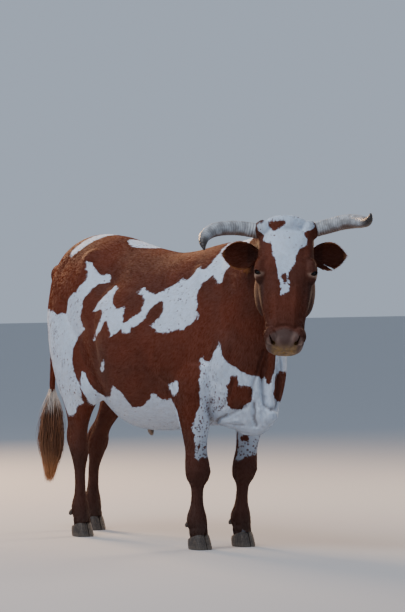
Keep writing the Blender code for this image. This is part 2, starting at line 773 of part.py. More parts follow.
def claw(foot, side):
    """One claw: flat towards its neighbour, rounded outside, with a sloping front."""
    (x, y), length, wide, lean = FEET[foot]
    middle, normal = coronet(foot)
    rings = []
    for t, reach, shift, swell in ((0.0, 1.0, 0.014, 1.0), (0.35, 0.97, 0.010, 1.0), (0.75, 0.88, 0.004, 0.97),
                                   (1.0, 0.82, 0.000, 0.92)):
        loop = []
        for k in range(9):
            a = math.pi * k / 8
            loop.append((math.cos(a) * length * reach / 2, 0.0022 + wide * swell * math.sin(a) ** 0.62))
        loop += [(-length * reach * 0.28, 0.0022), (length * reach * 0.28, 0.0022)]
        points = []
        for along, across in loop:
            px = x + lean * 0.5 + shift + along
            top = CORONET + CORONET_SLOPE * (px - middle.x) - GAP * 1.05
            points.append(Vector((px, y + across * side, max(0.0, t * top))))
        rings.append(points)
    return loft("claw", rings)


# Behind each fetlock, a pair of small blunt horny knobs.
def dewclaw(foot, side):
    (x, y), length, wide, lean = FEET[foot]
    back = -0.037 if foot.startswith("fore") else -0.035
    along = Vector((-0.45, 0.35 * side, -0.85))
    return ball("dewclaw", (x + back, y + 0.021 * side, 0.100), (0.019, 0.0125, 0.0125), pointing(along), 2)


# The tail: its path and how thick it is, down to where the long hair starts.
TAIL = (
    (-0.640, 0.000, 1.180, 0.034),
    (-0.688, -0.001, 1.196, 0.032),
    (-0.728, -0.004, 1.168, 0.029),
    (-0.752, -0.010, 1.105, 0.025),
    (-0.768, -0.022, 1.000, 0.021),
    (-0.772, -0.036, 0.870, 0.018),
    (-0.770, -0.048, 0.740, 0.0155),
    (-0.767, -0.056, 0.600, 0.0140),
)
SWITCH_TOP = Vector((-0.767, -0.056, 0.600))


def squared_off(piece, level, height):
    """The piece with the end that lies at this level made flat and moved to this height."""
    for point in piece.data.vertices:
        if abs(point.co.z - level) < 0.005:
            point.co.z = height
    return piece


def lock(name, path, wide, thick, face):
    """A flat tapered lock of hair along a path: four points round, wider than it is thick."""
    rings = []
    for i, here in enumerate(path):
        along = (path[min(i + 1, len(path) - 1)] - path[max(i - 1, 0)]).normalized()
        flat = face.cross(along).normalized()
        out = along.cross(flat).normalized()
        w, t = wide[i] / 2, thick[i] / 2
        rings.append([here + flat * w, here + out * t, here - flat * w, here - out * t])
    return loft(name, rings)


def switch(draw):
    """The tail's long hair: a slim core and flat locks that overlap, bend and end at different heights."""
    core_rows = [
        (*SWITCH_TOP, 0.0138),
        (-0.768, -0.058, 0.550, 0.021),
        (-0.770, -0.061, 0.480, 0.029),
        (-0.772, -0.064, 0.410, 0.027),
        (-0.774, -0.066, 0.350, 0.012),
    ]
    path, radii = smooth_path(core_rows, 9)
    pieces = [squared_off(tube("switch_core", path, radii, 11), SWITCH_TOP.z, SWITCH_TOP.z - GAP)]
    count = 17
    for k in range(count):
        turn = 2 * math.pi * (k * 0.381966 % 1.0)
        level = k / (count - 1)
        start = 0.588 - 0.175 * level - 0.01 * draw.random()
        end = 0.400 - 0.150 * min(1.0, 1.35 * level) - 0.022 * draw.random()
        around = Vector((math.cos(turn), math.sin(turn), 0))
        base = Vector((-0.767, -0.056, start)) + around * (0.005 if start > 0.56 else 0.014)
        belly = (0.040 + 0.008 * draw.random()) * (1 - 0.45 * level)
        drift = Vector((draw.uniform(-0.012, 0.004), draw.uniform(-0.014, 0.004), 0))
        path = []
        for j in range(5):
            t = j / 4
            bulge = math.sin(math.pi * min(1.0, t * 0.78 + 0.10)) ** 0.8
            down = start + (end - start) * t
            path.append(Vector((base.x, base.y, down)) + around * belly * bulge * (1 - 0.45 * t) + drift * t * t)
        wide = [0.014, 0.030, 0.034, 0.024, 0.004]
        thick = [0.008, 0.012, 0.012, 0.009, 0.003]
        pieces.append(lock("lock", path, wide, thick, around))
    return joined("tail_switch", pieces)


def joined(name, pieces):
    """All of these pieces as one closed surface."""
    first = pieces[0]
    first.name = name
    others = bpy.data.collections.new(name + "_others")
    bpy.context.scene.collection.children.link(others)
    for piece in pieces[1:]:
        bpy.context.scene.collection.objects.unlink(piece)
        others.objects.link(piece)
    union = first.modifiers.new("union", "BOOLEAN")
    union.operation = "UNION"
    union.operand_type = "COLLECTION"
    union.collection = others
    union.solver = "MANIFOLD"
    applied(first)
    for piece in list(others.objects):
        bpy.data.objects.remove(piece)
    bpy.data.collections.remove(others)
    found = parts_of(first)
    for extra in found[1:]:
        bpy.data.objects.remove(extra)
    found[0].name = name
    return found[0]


def sheath_tuft(draw):
    """The short brush of hair at the lowest point of the belly."""
    place = Vector((-0.105, -0.004, 0.470))
    pieces = [ball("sheath_root", place, (0.016, 0.012, 0.013), None, 2)]
    for k in range(5):
        turn = 2 * math.pi * k / 5
        around = Vector((math.cos(turn), math.sin(turn), 0))
        path = []
        for j in range(4):
            t = j / 3
            path.append(place + around * (0.004 + 0.006 * math.sin(math.pi * t)) + Vector((0.010 * t * t, 0, -0.030 * t)))
        wide = [0.008, 0.010, 0.007, 0.002]
        pieces.append(lock("lock", path, wide, [0.004, 0.005, 0.004, 0.0015], around))
    return joined("sheath_tuft", pieces)


def flesh(name, voxel, passes):
    pieces = [trunk(), neck(), dewlap(), *limbs(), *muscles(), *head_masses()]
    return pressed(fused(name, pieces, voxel, passes), body_strokes())


def head_flesh(name, voxel, passes):
    return fused(name, [neck(), dewlap(), *head_masses()], voxel, passes)


# Four lower and four upper corners of the cup that parts each leg from the torso, for the right side.
LEG_CUTS = {
    "fore_right": (
        ((0.250, -0.050, 0.420), (0.540, -0.050, 0.420), (0.540, -0.340, 0.420), (0.250, -0.340, 0.420)),
        ((0.250, -0.056, 0.580), (0.540, -0.056, 0.580), (0.540, -0.340, 0.680), (0.250, -0.340, 0.680)),
    ),
    "hind_right": (
        ((-0.820, -0.012, 0.420), (-0.225, -0.012, 0.420), (-0.190, -0.340, 0.420), (-0.820, -0.340, 0.420)),
        ((-0.820, -0.006, 0.690), (-0.225, -0.006, 0.690), (-0.190, -0.340, 0.840), (-0.820, -0.340, 0.840)),
    ),
}


def turned_over(corners):
    return tuple((x, -y, z) for x, y, z in corners)


def material(name, colour, rough):
    made = bpy.data.materials.new(name)
    made.use_nodes = True
    shader = made.node_tree.nodes["Principled BSDF"]
    shader.inputs["Base Color"].default_value = (*colour, 1)
    shader.inputs["Roughness"].default_value = rough
    return made


COLOURS = {
    "torso": (0.150, 0.036, 0.018),
    "neck": (0.140, 0.033, 0.017),
    "head": (0.150, 0.038, 0.020),
    "leg": (0.110, 0.028, 0.016),
    "ear": (0.090, 0.022, 0.012),
    "horn": (0.420, 0.410, 0.400),
    "eye": (0.012, 0.009, 0.008),
    "claw": (0.035, 0.028, 0.025),
    "tail": (0.090, 0.030, 0.020),
    "switch": (0.380, 0.180, 0.090),
    "tuft": (0.300, 0.220, 0.170),
}


def finish(piece, name, kind):
    """Names a finished piece, gives it its colour and moves it to the middle of the box."""
    piece.name = name
    piece.data.name = name
    piece.data.transform(Matrix.Translation(-BOX_MIDDLE))
    rough = 0.35 if kind in ("horn", "claw") else 0.15 if kind == "eye" else 0.8
    piece.data.materials.clear()
    piece.data.materials.append(material(name, COLOURS[kind], rough))
    for face in piece.data.polygons:
        face.use_smooth = kind in ("horn", "eye", "ear", "tail")
    return piece


BODY_TRIANGLES = 5600
HEAD_TRIANGLES = 3200


def body_parts():
    """The body without its head, parted into the torso, the neck and the legs."""
    body = thinned(flesh("body", BODY_VOXEL, 10), BODY_TRIANGLES)
    plates = [neck_cut(), head_cut()]
    for foot in FEET:
        middle, normal = coronet(foot)
        plates.append(plate("foot_cut", middle, normal, FOOT_CUT_WIDE))
    for name, (low, high) in LEG_CUTS.items():
        plates.append(cap(name + "_cut", low, high))
        plates.append(cap(name.replace("right", "left") + "_cut", turned_over(low), turned_over(high)))
    found = parts_of(cut(body, plates))
    wanted = {
        "torso": (0.0, 0.0, 0.9),
        "neck": (0.75, -0.02, 1.10),
        "leg_fore_right": (0.40, -0.14, 0.38),
        "leg_fore_left": (0.40, 0.14, 0.38),
        "leg_hind_right": (-0.42, -0.15, 0.45),
        "leg_hind_left": (-0.60, 0.15, 0.45),
    }
    made = {}
    for name, place in wanted.items():
        best = min(found[:12], key=lambda p: float(np.linalg.norm(middle_of(p) - place)))
        found.remove(best)
        made[name] = best
    for extra in found:
        bpy.data.objects.remove(extra)
    return made


# The neck ends just in front of the shoulder: a place on that plane, the way through it and how wide.
NECK_END = (0.660, 0.000, 0.900)
NECK_FORWARDS = (0.93, 0.00, 0.37)
NECK_CUT_WIDE = 1.1
FOOT_CUT_WIDE = 0.17


def neck_cut():
    """Parts the neck from the torso."""
    return plate("neck_cut", NECK_END, NECK_FORWARDS, NECK_CUT_WIDE)


# Where the head meets the neck, in the head's middle: behind the poll, behind the jaw and under it.
THROAT = ((-0.110, 0.080), (-0.042, -0.040), (0.100, -0.244), (0.150, -0.262), (0.420, -0.262))


def head_cut():
    """A thin bent sheet that parts the head from the neck."""
    points = []
    for level in (GAP / 2, -GAP / 2):
        for i, (u, w) in enumerate(THROAT):
            before, after = Vector(THROAT[max(i - 1, 0)]), Vector(THROAT[min(i + 1, len(THROAT) - 1)])
            along = (after - before).normalized()
            out = Vector((u - along.y * level, w + along.x * level))
            points += [Vector((out.x, side * 0.24, out.y)) for side in (-1, 1)]
    count = len(THROAT)
    faces = []
    for i in range(count - 1):
        a, b = 2 * i, 2 * i + 2 * count
        faces += [(a, a + 2, a + 3, a + 1), (b, b + 1, b + 3, b + 2)]
        faces += [(a, b, b + 2, a + 2), (a + 1, a + 3, b + 3, b + 1)]
    a, b = 2 * count - 2, 4 * count - 2
    faces += [(0, 1, 2 * count + 1, 2 * count), (a, b, b + 1, a + 1)]
    made = from_points("head_cut", points, faces)
    made.data.transform(head_frame())
    mesh = bmesh.new()
    mesh.from_mesh(made.data)
    bmesh.ops.recalc_face_normals(mesh, faces=mesh.faces)
    mesh.to_mesh(made.data)
    mesh.free()
    return made


def main():
    for piece in list(bpy.data.objects):
        bpy.data.objects.remove(piece)
    draw = random.Random(7)
    made = body_parts()
    head = head_flesh("head", HEAD_VOXEL, 8)
    head = thinned(head, HEAD_TRIANGLES)
    found = parts_of(cut(head, [head_cut()]))
    target = head_frame() @ Vector((0.27, 0, -0.10))
    head = min(found[:4], key=lambda p: (Vector(middle_of(p)) - target).length)
    for extra in found:
        if extra != head:
            bpy.data.objects.remove(extra)
    for side in (-1, 1):
        cut(head, [eye_ball("lids", side, EYE_LIDS)], "UNION")
    for side in (-1, 1):
        cut(head, [eye_ball("socket", side, GAP), lid_slit(side), nostril(side)])
    cut(head, [mouth_line()])
    horns = {"horn_right": horn("horn_right", HORN_RIGHT), "horn_left": horn("horn_left", HORN_LEFT)}
    ears = {"ear_right": ear("ear_right", -1), "ear_left": ear("ear_left", 1)}
    for piece in (*horns.values(), *ears.values()):
        cut(head, [grown(piece)])
    finish(head, "head", "head")
    for name, piece in horns.items():
        finish(piece, name, "horn")
    for name, piece in ears.items():
        finish(piece, name, "ear")
    for side, name in ((-1, "right"), (1, "left")):
        finish(eye_ball("eye", side), "eye_" + name, "eye")
    for foot in FEET:
        for side in (-1, 1):
            place = "outer" if (side < 0) == foot.endswith("right") else "inner"
            knob = dewclaw(foot, side)
            cut(made["leg_" + foot], [grown(knob)])
            finish(knob, f"dewclaw_{foot}_{place}", "claw")
            finish(claw(foot, side), f"claw_{foot}_{place}", "claw")
    path, radii = smooth_path(TAIL, 15)
    tail = squared_off(tube("tail", path, radii, 11), SWITCH_TOP.z, SWITCH_TOP.z)
    cut(made["torso"], [grown(tail)])
    tuft = sheath_tuft(draw)
    cut(made["torso"], [grown(tuft)])
    finish(tail, "tail", "tail")
    finish(tuft, "sheath_tuft", "tuft")
    finish(switch(draw), "tail_switch", "switch")
    for name, piece in made.items():
        finish(piece, name, "leg" if name.startswith("leg") else name)


main()
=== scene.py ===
"""A pied Nguni ox, life size, standing with its head turned to its right: hide, coat, eyes, horns, hooves.

+X is forwards, +Y the animal's left and +Z up. The shapes are worked out in the frame that the solids'
own sizes are given in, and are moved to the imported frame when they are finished. Sizes are in metres.
"""

import json
import math

import bmesh
import bpy
import numpy as np
from bpy.props import FloatProperty, FloatVectorProperty, IntProperty
from mathutils import Matrix, Vector
from mathutils.bvhtree import BVHTree
from mathutils.noise import noise as lumps

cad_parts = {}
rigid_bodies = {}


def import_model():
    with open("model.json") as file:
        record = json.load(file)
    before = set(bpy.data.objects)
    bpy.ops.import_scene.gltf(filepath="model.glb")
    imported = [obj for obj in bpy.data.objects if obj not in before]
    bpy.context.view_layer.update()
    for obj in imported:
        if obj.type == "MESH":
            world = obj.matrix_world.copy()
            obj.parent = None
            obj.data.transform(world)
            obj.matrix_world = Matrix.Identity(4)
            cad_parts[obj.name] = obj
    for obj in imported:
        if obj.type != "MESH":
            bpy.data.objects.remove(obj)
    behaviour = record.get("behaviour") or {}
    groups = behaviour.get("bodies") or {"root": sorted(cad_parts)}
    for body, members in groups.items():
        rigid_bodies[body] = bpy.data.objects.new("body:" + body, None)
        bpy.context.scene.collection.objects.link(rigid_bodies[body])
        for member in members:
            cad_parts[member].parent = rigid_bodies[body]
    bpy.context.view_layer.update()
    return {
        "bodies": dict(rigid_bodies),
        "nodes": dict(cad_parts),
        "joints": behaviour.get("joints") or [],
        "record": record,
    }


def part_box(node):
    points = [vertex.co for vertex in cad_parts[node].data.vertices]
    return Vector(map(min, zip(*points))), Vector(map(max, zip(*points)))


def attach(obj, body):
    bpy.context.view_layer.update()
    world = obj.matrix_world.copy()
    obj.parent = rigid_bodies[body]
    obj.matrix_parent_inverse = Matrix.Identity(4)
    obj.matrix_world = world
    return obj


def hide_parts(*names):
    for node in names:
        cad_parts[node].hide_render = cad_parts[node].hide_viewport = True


bl_info = {
    "name": "Pied Nguni ox",
    "version": (1, 0, 0),
    "blender": (4, 5, 0),
    "location": "View3D > Sidebar > Ox",
    "description": "Builds the hide, coat, eyes, horns and hooves of a standing pied ox",
    "category": "Add Mesh",
}

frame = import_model()
ROOT = "root"

RING_POINTS = 40

# The trunk, front to back. Each row is one section: along, top, bottom, half width, how far up the
# widest place lies, and how square the upper and the lower half are.
TRUNK = (
    (-0.742, 1.11, 1, 0.052, 0.5, 2, 2), (-0.718, 1.165, 0.915, 0.092, 0.52, 2, 2),
    (-0.66, 1.215, 0.81, 0.136, 0.55, 2, 2), (-0.57, 1.264, 0.705, 0.184, 0.6, 2, 2),
    (-0.45, 1.292, 0.61, 0.222, 0.62, 1.9, 2), (-0.31, 1.284, 0.54, 0.244, 0.6, 1.9, 2),
    (-0.17, 1.256, 0.476, 0.268, 0.5, 1.9, 2), (-0.02, 1.23, 0.464, 0.29, 0.45, 1.9, 2.1),
    (0.12, 1.217, 0.474, 0.286, 0.44, 1.8, 2.1), (0.25, 1.228, 0.49, 0.262, 0.42, 1.7, 2.1),
    (0.37, 1.25, 0.504, 0.228, 0.4, 1.6, 2.1), (0.48, 1.262, 0.506, 0.198, 0.4, 1.6, 2),
    (0.59, 1.22, 0.505, 0.166, 0.4, 1.7, 1.9), (0.67, 1.1, 0.52, 0.125, 0.42, 1.8, 1.8),
    (0.722, 0.9, 0.56, 0.065, 0.45, 2, 1.8),
)

# The neck, from inside the shoulders to the poll. Each row is the top point, the bottom point and the
# half width of one section, with its widest place and squareness.
NECK = (
    ((0.4, 0, 1.245), (0.62, 0, 0.64), 0.16, 0.45, 1.8, 1.9),
    ((0.52, -0.004, 1.262), (0.7, -0.004, 0.7), 0.142, 0.48, 1.8, 1.8),
    ((0.63, -0.012, 1.282), (0.752, -0.01, 0.8), 0.122, 0.52, 1.8, 1.8),
    ((0.73, -0.026, 1.3), (0.765, -0.014, 0.9), 0.107, 0.56, 1.9, 1.8),
    ((0.81, -0.044, 1.314), (0.79, -0.01, 1), 0.1, 0.58, 2, 1.9),
    ((0.868, -0.056, 1.312), (0.826, -0.012, 1.08), 0.09, 0.55, 2, 2),
)

# The dewlap's free edge and the line inside the neck that it hangs from, top to bottom.
DEWLAP = (
    ((0.862, -0.048, 1.075), (0.8, -0.024, 1.12), 0.02),
    ((0.832, -0.04, 0.985), (0.76, -0.01, 1.06), 0.016), ((0.8, -0.03, 0.87), (0.715, -0.006, 0.95), 0.014),
    ((0.778, -0.022, 0.75), (0.68, -0.002, 0.84), 0.015), ((0.758, -0.012, 0.65), (0.648, 0, 0.74), 0.021),
    ((0.732, -0.004, 0.56), (0.61, 0, 0.66), 0.03), ((0.672, 0, 0.507), (0.56, 0, 0.62), 0.04),
    ((0.57, 0, 0.496), (0.47, 0, 0.62), 0.05),
)

# The head: where the poll is, and how far the face turns to the right, tips down and leans.
POLL = Vector((0.938, -0.084, 1.358))
HEAD_TURN = math.radians(-36.5)
HEAD_TIP = math.radians(66.0)
HEAD_LEAN = math.radians(-1.4)

# Sections of the skull and jaw: along the face from the poll, brow side, throat side, half width,
# widest place and squareness.
FACE = (
    (-0.025, -0.046, -0.125, 0.064, 0.6, 2, 2), (0.005, -0.022, -0.165, 0.094, 0.68, 2.2, 2),
    (0.05, -0.006, -0.2, 0.108, 0.72, 2.4, 2), (0.1, 0, -0.216, 0.113, 0.74, 2.6, 2),
    (0.15, 0.003, -0.226, 0.113, 0.76, 2.7, 2), (0.2, 0.003, -0.234, 0.11, 0.78, 2.8, 2),
    (0.255, -0.001, -0.23, 0.107, 0.76, 2.6, 2), (0.305, -0.006, -0.212, 0.103, 0.72, 2.4, 2),
    (0.355, -0.01, -0.187, 0.094, 0.68, 2.3, 2.1), (0.405, -0.014, -0.168, 0.082, 0.62, 2.3, 2.2),
    (0.45, -0.018, -0.16, 0.079, 0.58, 2.3, 2.3), (0.492, -0.028, -0.155, 0.08, 0.55, 2.4, 2.3),
    (0.524, -0.05, -0.148, 0.07, 0.5, 2.3, 2.2), (0.543, -0.076, -0.132, 0.046, 0.48, 2.2, 2),
)


def eased(rows, count):
    """Rows of numbers in between these, on a smooth curve through them all."""
    table = np.array(rows, float)
    steps = np.linalg.norm(np.diff(table, axis=0), axis=1)
    at = np.concatenate([[0.0], np.cumsum(steps)])
    slope = np.gradient(table, at, axis=0)
    made = []
    for place in np.linspace(0.0, at[-1], count):
        i = min(int(np.searchsorted(at, place, side="right")) - 1, len(at) - 2)
        wide = at[i + 1] - at[i]
        t = (place - at[i]) / wide
        made.append(
            table[i] * (1 + 2 * t) * (1 - t) ** 2
            + slope[i] * wide * t * (1 - t) ** 2
            + table[i + 1] * t * t * (3 - 2 * t)
            + slope[i + 1] * wide * t * t * (t - 1)
        )
    return made


def ring(top, bottom, half_width, widest, upper, lower, side, points=RING_POINTS):
    """A closed section: a rounded box whose upper and lower halves have their own squareness."""
    up = top - bottom
    middle = bottom + up * widest
    found = []
    for i in range(points):
        angle = 2 * math.pi * i / points
        across, along = math.cos(angle), math.sin(angle)
        power = 2 / (upper if along > 0 else lower)
        reach = (1 - widest) if along > 0 else widest
        found.append(
            middle
            + side * (half_width * math.copysign(abs(across) ** power, across))
            + up * (reach * math.copysign(abs(along) ** power, along))
        )
    return found


def linked(name, data):
    """A new object in the scene, which holds this mesh, light or camera."""
    made = bpy.data.objects.new(name, data)
    bpy.context.scene.collection.objects.link(made)
    return made


def meshed(name, mesh):
    """A new object made of this bmesh, which is used up."""
    data = bpy.data.meshes.new(name)
    mesh.to_mesh(data)
    mesh.free()
    return linked(name, data)


def reshaped(piece, change):
    """The piece after this change to its bmesh."""
    mesh = bmesh.new()
    mesh.from_mesh(piece.data)
    change(mesh)
    mesh.to_mesh(piece.data)
    mesh.free()
    return piece


def turn_outwards(mesh):
    bmesh.ops.recalc_face_normals(mesh, faces=mesh.faces)


def solid(name, points, faces):
    """A closed mesh of these points and faces, which face outwards."""
    data = bpy.data.meshes.new(name)
    data.from_pydata([tuple(p) for p in points], [], faces)
    return reshaped(linked(name, data), turn_outwards)


def loft(name, rings):
    """A closed mesh through these rings."""
    mesh = bmesh.new()
    made = [[mesh.verts.new(p) for p in points] for points in rings]
    for near, far in zip(made, made[1:]):
        for i in range(len(near)):
            j = (i + 1) % len(near)
            mesh.faces.new((near[i], near[j], far[j], far[i]))
    mesh.faces.new(made[0][::-1])
    mesh.faces.new(made[-1])
    bmesh.ops.triangulate(mesh, faces=mesh.faces)
    turn_outwards(mesh)
    return meshed(name, mesh)


def ball(name, centre, radii, turn=None, detail=4):
    """A closed ellipsoid."""
    mesh = bmesh.new()
    bmesh.ops.create_icosphere(mesh, subdivisions=detail, radius=1.0)
    place = Matrix.Translation(centre) @ (turn or Matrix.Identity(4)) @ Matrix.Diagonal((*radii, 1.0))
    bmesh.ops.transform(mesh, matrix=place, verts=mesh.verts)
    return meshed(name, mesh)


def pointing(along, across=Vector((0, 1, 0))):
    """A turn that carries +X onto along."""
    x = Vector(along).normalized()
    z = x.cross(across).normalized()
    y = z.cross(x)
    return Matrix((x, y, z)).transposed().to_4x4()


def head_frame():
    """Carries the head's own axes, along the face, to its left and out of the brow, into place."""
    forwards = Vector((math.cos(HEAD_TURN), math.sin(HEAD_TURN), 0))
    up = Vector((0, 0, 1))
    along = forwards * math.cos(HEAD_TIP) - up * math.sin(HEAD_TIP)
    out = forwards * math.sin(HEAD_TIP) + up * math.cos(HEAD_TIP)
    left = out.cross(along)
    lean = Matrix.Rotation(HEAD_LEAN, 4, forwards)
    frame = Matrix((along, left, out)).transposed().to_4x4()
    return Matrix.Translation(POLL) @ lean @ frame


def head_turn():
    """The turn alone of the head's own axes."""
    return head_frame().to_quaternion().to_matrix().to_4x4()


def mirrored(place, side):
    """A place or direction given for the left side, on side 1 (left) or -1 (right)."""
    return Vector((place[0], place[1] * side, place[2]))


def trunk():
    side = Vector((0, 1, 0))
    rings = []
    for x, top, bottom, wide, widest, upper, lower in eased(TRUNK, 60):
        rings.append(ring(Vector((x, 0, top)), Vector((x, 0, bottom)), wide, widest, upper, lower, side))
    return loft("trunk_form", rings)


def neck():
    rows = [(*top, *bottom, *rest) for top, bottom, *rest in NECK]
    rings = []
    path = eased(rows, 24)
    for i, row in enumerate(path):
        top, bottom = Vector(row[0:3]), Vector(row[3:6])
        before, after = path[max(i - 1, 0)], path[min(i + 1, len(path) - 1)]
        along = Vector(after[0:3] + after[3:6] - before[0:3] - before[3:6])
        side = (top - bottom).cross(along).normalized()
        rings.append(ring(top, bottom, *row[6:10], side))
    return loft("neck_form", rings)


def dewlap():
    rows = [(*edge, *root, wide) for edge, root, wide in DEWLAP]
    rings = []
    path = eased(rows, 30)
    for i, row in enumerate(path):
        edge, root = Vector(row[0:3]), Vector(row[3:6])
        before, after = path[max(i - 1, 0)], path[min(i + 1, len(path) - 1)]
        along = Vector(after[0:3] - before[0:3])
        side = (root - edge).cross(along).normalized()
        rings.append(ring(root, edge, row[6], 0.45, 3.0, 2.0, side, 16))
    return loft("dewlap_form", rings)


# Legs. Each row is one level section: its height, its front and back from the foot's own middle, and its
# half width.
FORELEG = (
    (0.02, 0.045, -0.036, 0.037), (0.055, 0.045, -0.037, 0.037), (0.08, 0.043, -0.043, 0.039),
    (0.108, 0.04, -0.049, 0.042), (0.138, 0.035, -0.05, 0.04), (0.172, 0.026, -0.036, 0.03),
    (0.215, 0.024, -0.03, 0.025), (0.255, 0.026, -0.032, 0.029), (0.285, 0.042, -0.042, 0.048),
    (0.32, 0.052, -0.049, 0.054), (0.355, 0.048, -0.054, 0.051), (0.4, 0.048, -0.054, 0.043),
    (0.46, 0.06, -0.064, 0.046), (0.53, 0.08, -0.084, 0.056), (0.6, 0.098, -0.108, 0.066),
    (0.68, 0.118, -0.116, 0.066), (0.76, 0.12, -0.09, 0.045),
)
HIND_LEG = (
    (0.02, 0.043, -0.034, 0.036), (0.055, 0.043, -0.036, 0.036), (0.08, 0.04, -0.041, 0.037),
    (0.108, 0.035, -0.047, 0.039), (0.138, 0.03, -0.048, 0.037), (0.178, 0.022, -0.035, 0.027),
    (0.23, 0.021, -0.031, 0.023), (0.29, 0.023, -0.034, 0.026), (0.335, 0.033, -0.044, 0.034),
    (0.375, 0.038, -0.062, 0.04), (0.415, 0.034, -0.086, 0.039), (0.445, 0.035, -0.088, 0.034),
    (0.48, 0.046, -0.076, 0.036), (0.52, 0.066, -0.08, 0.042), (0.573, 0.108, -0.098, 0.05),
    (0.64, 0.15, -0.13, 0.064), (0.74, 0.178, -0.155, 0.078), (0.84, 0.18, -0.165, 0.084),
    (0.96, 0.17, -0.172, 0.08), (1.08, 0.13, -0.15, 0.05), (1.14, 0.08, -0.1, 0.02),
)


# Where each foot stands, and how its leg leans: heights with how far forwards the leg is carried there,
# and heights with how far outwards.
FEET = {
    "fore_right": (0.402, -0.130),
    "fore_left": (0.385, 0.106),
    "hind_right": (-0.428, -0.140),
    "hind_left": (-0.684, 0.102),
}
FORE_HEIGHTS = (0.02, 0.12, 0.30, 0.60, 0.78)
HIND_HEIGHTS = (0.02, 0.12, 0.27, 0.42, 0.60, 0.75, 0.90, 1.10)
LEANS = {
    "fore_right": (
        (FORE_HEIGHTS, (0.010, -0.002, 0.002, -0.004, 0.030)),
        ((0.06, 0.35, 0.60, 0.78), (0.0, 0.002, 0.024, 0.040)),
    ),
    "fore_left": (
        (FORE_HEIGHTS, (0.010, -0.002, 0.012, 0.006, 0.040)),
        ((0.06, 0.30, 0.47, 0.60, 0.78), (0.0, 0.004, 0.034, 0.050, 0.060)),
    ),
    "hind_right": (
        (HIND_HEIGHTS, (0.014, 0.004, 0.000, -0.002, 0.010, 0.000, -0.022, -0.050)),
        ((0.06, 0.42, 0.60, 0.80, 1.10), (0.0, 0.002, 0.014, 0.018, 0.000)),
    ),
    "hind_left": (
        (HIND_HEIGHTS, (0.012, -0.002, 0.006, 0.050, 0.150, 0.190, 0.196, 0.186)),
        ((0.06, 0.42, 0.60, 0.80, 1.10), (0.0, 0.006, 0.036, 0.048, 0.030)),
    ),
}


def is_fore(foot):
    return foot.startswith("fore")


def side_of(foot):
    return 1 if foot.endswith("left") else -1


def lean(foot, z):
    """How far forwards and how far to the left the leg over this foot is carried at height z."""
    along, out = (float(np.interp(z, *table)) for table in LEANS[foot])
    return along, out * side_of(foot)


def leg(foot):
    """A leg as level sections over its foot."""
    rings = []
    for z, front, back, half in eased(FORELEG if is_fore(foot) else HIND_LEG, 64):
        along, across = lean(foot, z)
        x, y = FEET[foot][0] + along, FEET[foot][1] + across
        widest = -back / (front - back)
        front_point, back_point = Vector((x + front, y, z)), Vector((x + back, y, z))
        rings.append(ring(front_point, back_point, half, widest, 2.1, 2.1, Vector((0, 1, 0)), 28))
    return loft(foot + "_form", rings)


def muscles():
    """Bones and muscles that stand out of the trunk, on both sides."""
    made = []
    for side, name in ((-1, "right"), (1, "left")):
        def at(*place):
            return mirrored(place, side)

        made += [
            ball("blade_" + name, at(0.430, 0.090, 0.955), (0.225, 0.070, 0.120), pointing((-0.30, 0, 1))),
            ball("triceps_" + name, at(0.385, 0.148, 0.760), (0.165, 0.066, 0.140), pointing((0.25, 0, 1))),
            ball("shoulder_point_" + name, at(0.552, 0.112, 0.800), (0.10, 0.072, 0.150)),
            ball("haunch_" + name, at(-0.490, 0.112, 0.980), (0.170, 0.098, 0.25)),
            ball("thigh_" + name, at(-0.510, 0.098, 0.830), (0.145, 0.078, 0.19), pointing((0.15, 0, 1))),
            ball("hook_" + name, at(-0.315, 0.140, 1.178), (0.070, 0.050, 0.050)),
            ball("pin_" + name, at(-0.682, 0.070, 1.112), (0.045, 0.042, 0.050)),
            ball("flank_" + name, at(-0.275, 0.182, 0.655), (0.095, 0.045, 0.090)),
        ]
    return made


def head_masses():
    frame = head_frame()
    side = Vector((0, 1, 0))
    rings = []
    for u, brow, throat, wide, widest, upper, lower in eased(FACE, 52):
        rings.append(ring(Vector((u, 0, brow)), Vector((u, 0, throat)), wide, widest, upper, lower, side))
    made = [loft("face_form", rings)]
    made.append(ball("poll_form", Vector((0.022, 0, -0.047)), (0.052, 0.098, 0.051)))
    made.append(ball("pad_form", Vector((0.492, 0, -0.074)), (0.050, 0.074, 0.046)))
    made.append(ball("chin_form", Vector((0.472, 0, -0.148)), (0.060, 0.055, 0.028)))
    for way in (-1, 1):
        made.append(ball("orbit_form", Vector((0.212, 0.094 * way, -0.044)), (0.064, 0.034, 0.040)))
        made.append(ball("cheek_form", Vector((0.252, 0.074 * way, -0.146)), (0.118, 0.049, 0.078)))
        made.append(ball("horn_root_form", Vector((0.036, 0.090 * way, -0.044)), (0.042, 0.040, 0.040)))
        made.append(ball("wing_form", Vector((0.488, 0.055 * way, -0.050)), (0.038, 0.031, 0.032)))
    for piece in made:
        piece.data.transform(frame)
    return made


# How fine the flesh is before it is thinned, how often it is smoothed, and how many triangles it keeps.
BODY_FINE = (0.0055, 14, 96000)
HEAD_FINE = (0.0026, 14, 84000)

# Where the head's fine mesh meets the body's: a point and the way forwards through it.
COLLAR = Vector((0.740, 0.000, 1.000))
COLLAR_FORWARDS = Vector((0.93, 0.0, 0.37)).normalized()
COLLAR_GAP = 0.004

# The left eye in the head's own axes: its place, the ways it looks and its inner corner lies, how far the
# eyeball that shows lies outwards and forwards of that place, how thick the lids are and how loose it sits.
EYE_RADIUS = 0.0195
EYE_PLACE = (0.227, 0.1, -0.04)
EYE_LOOK = (0.12, 0.56, 0.82)
EYE_INNER_CORNER = (0.5, -0.7, 0.4)
EYE_OUTWARDS = 0.001
EYE_FORWARDS = 0.005
EYE_LIDS = 0.0046
SOCKET_GAP = 0.0002

# The tops of the claws: how far forwards of the foot's middle, how high and how steep.
FOOT_LEAN = 0.008
CORONET = 0.052
CORONET_SLOPE = 0.32
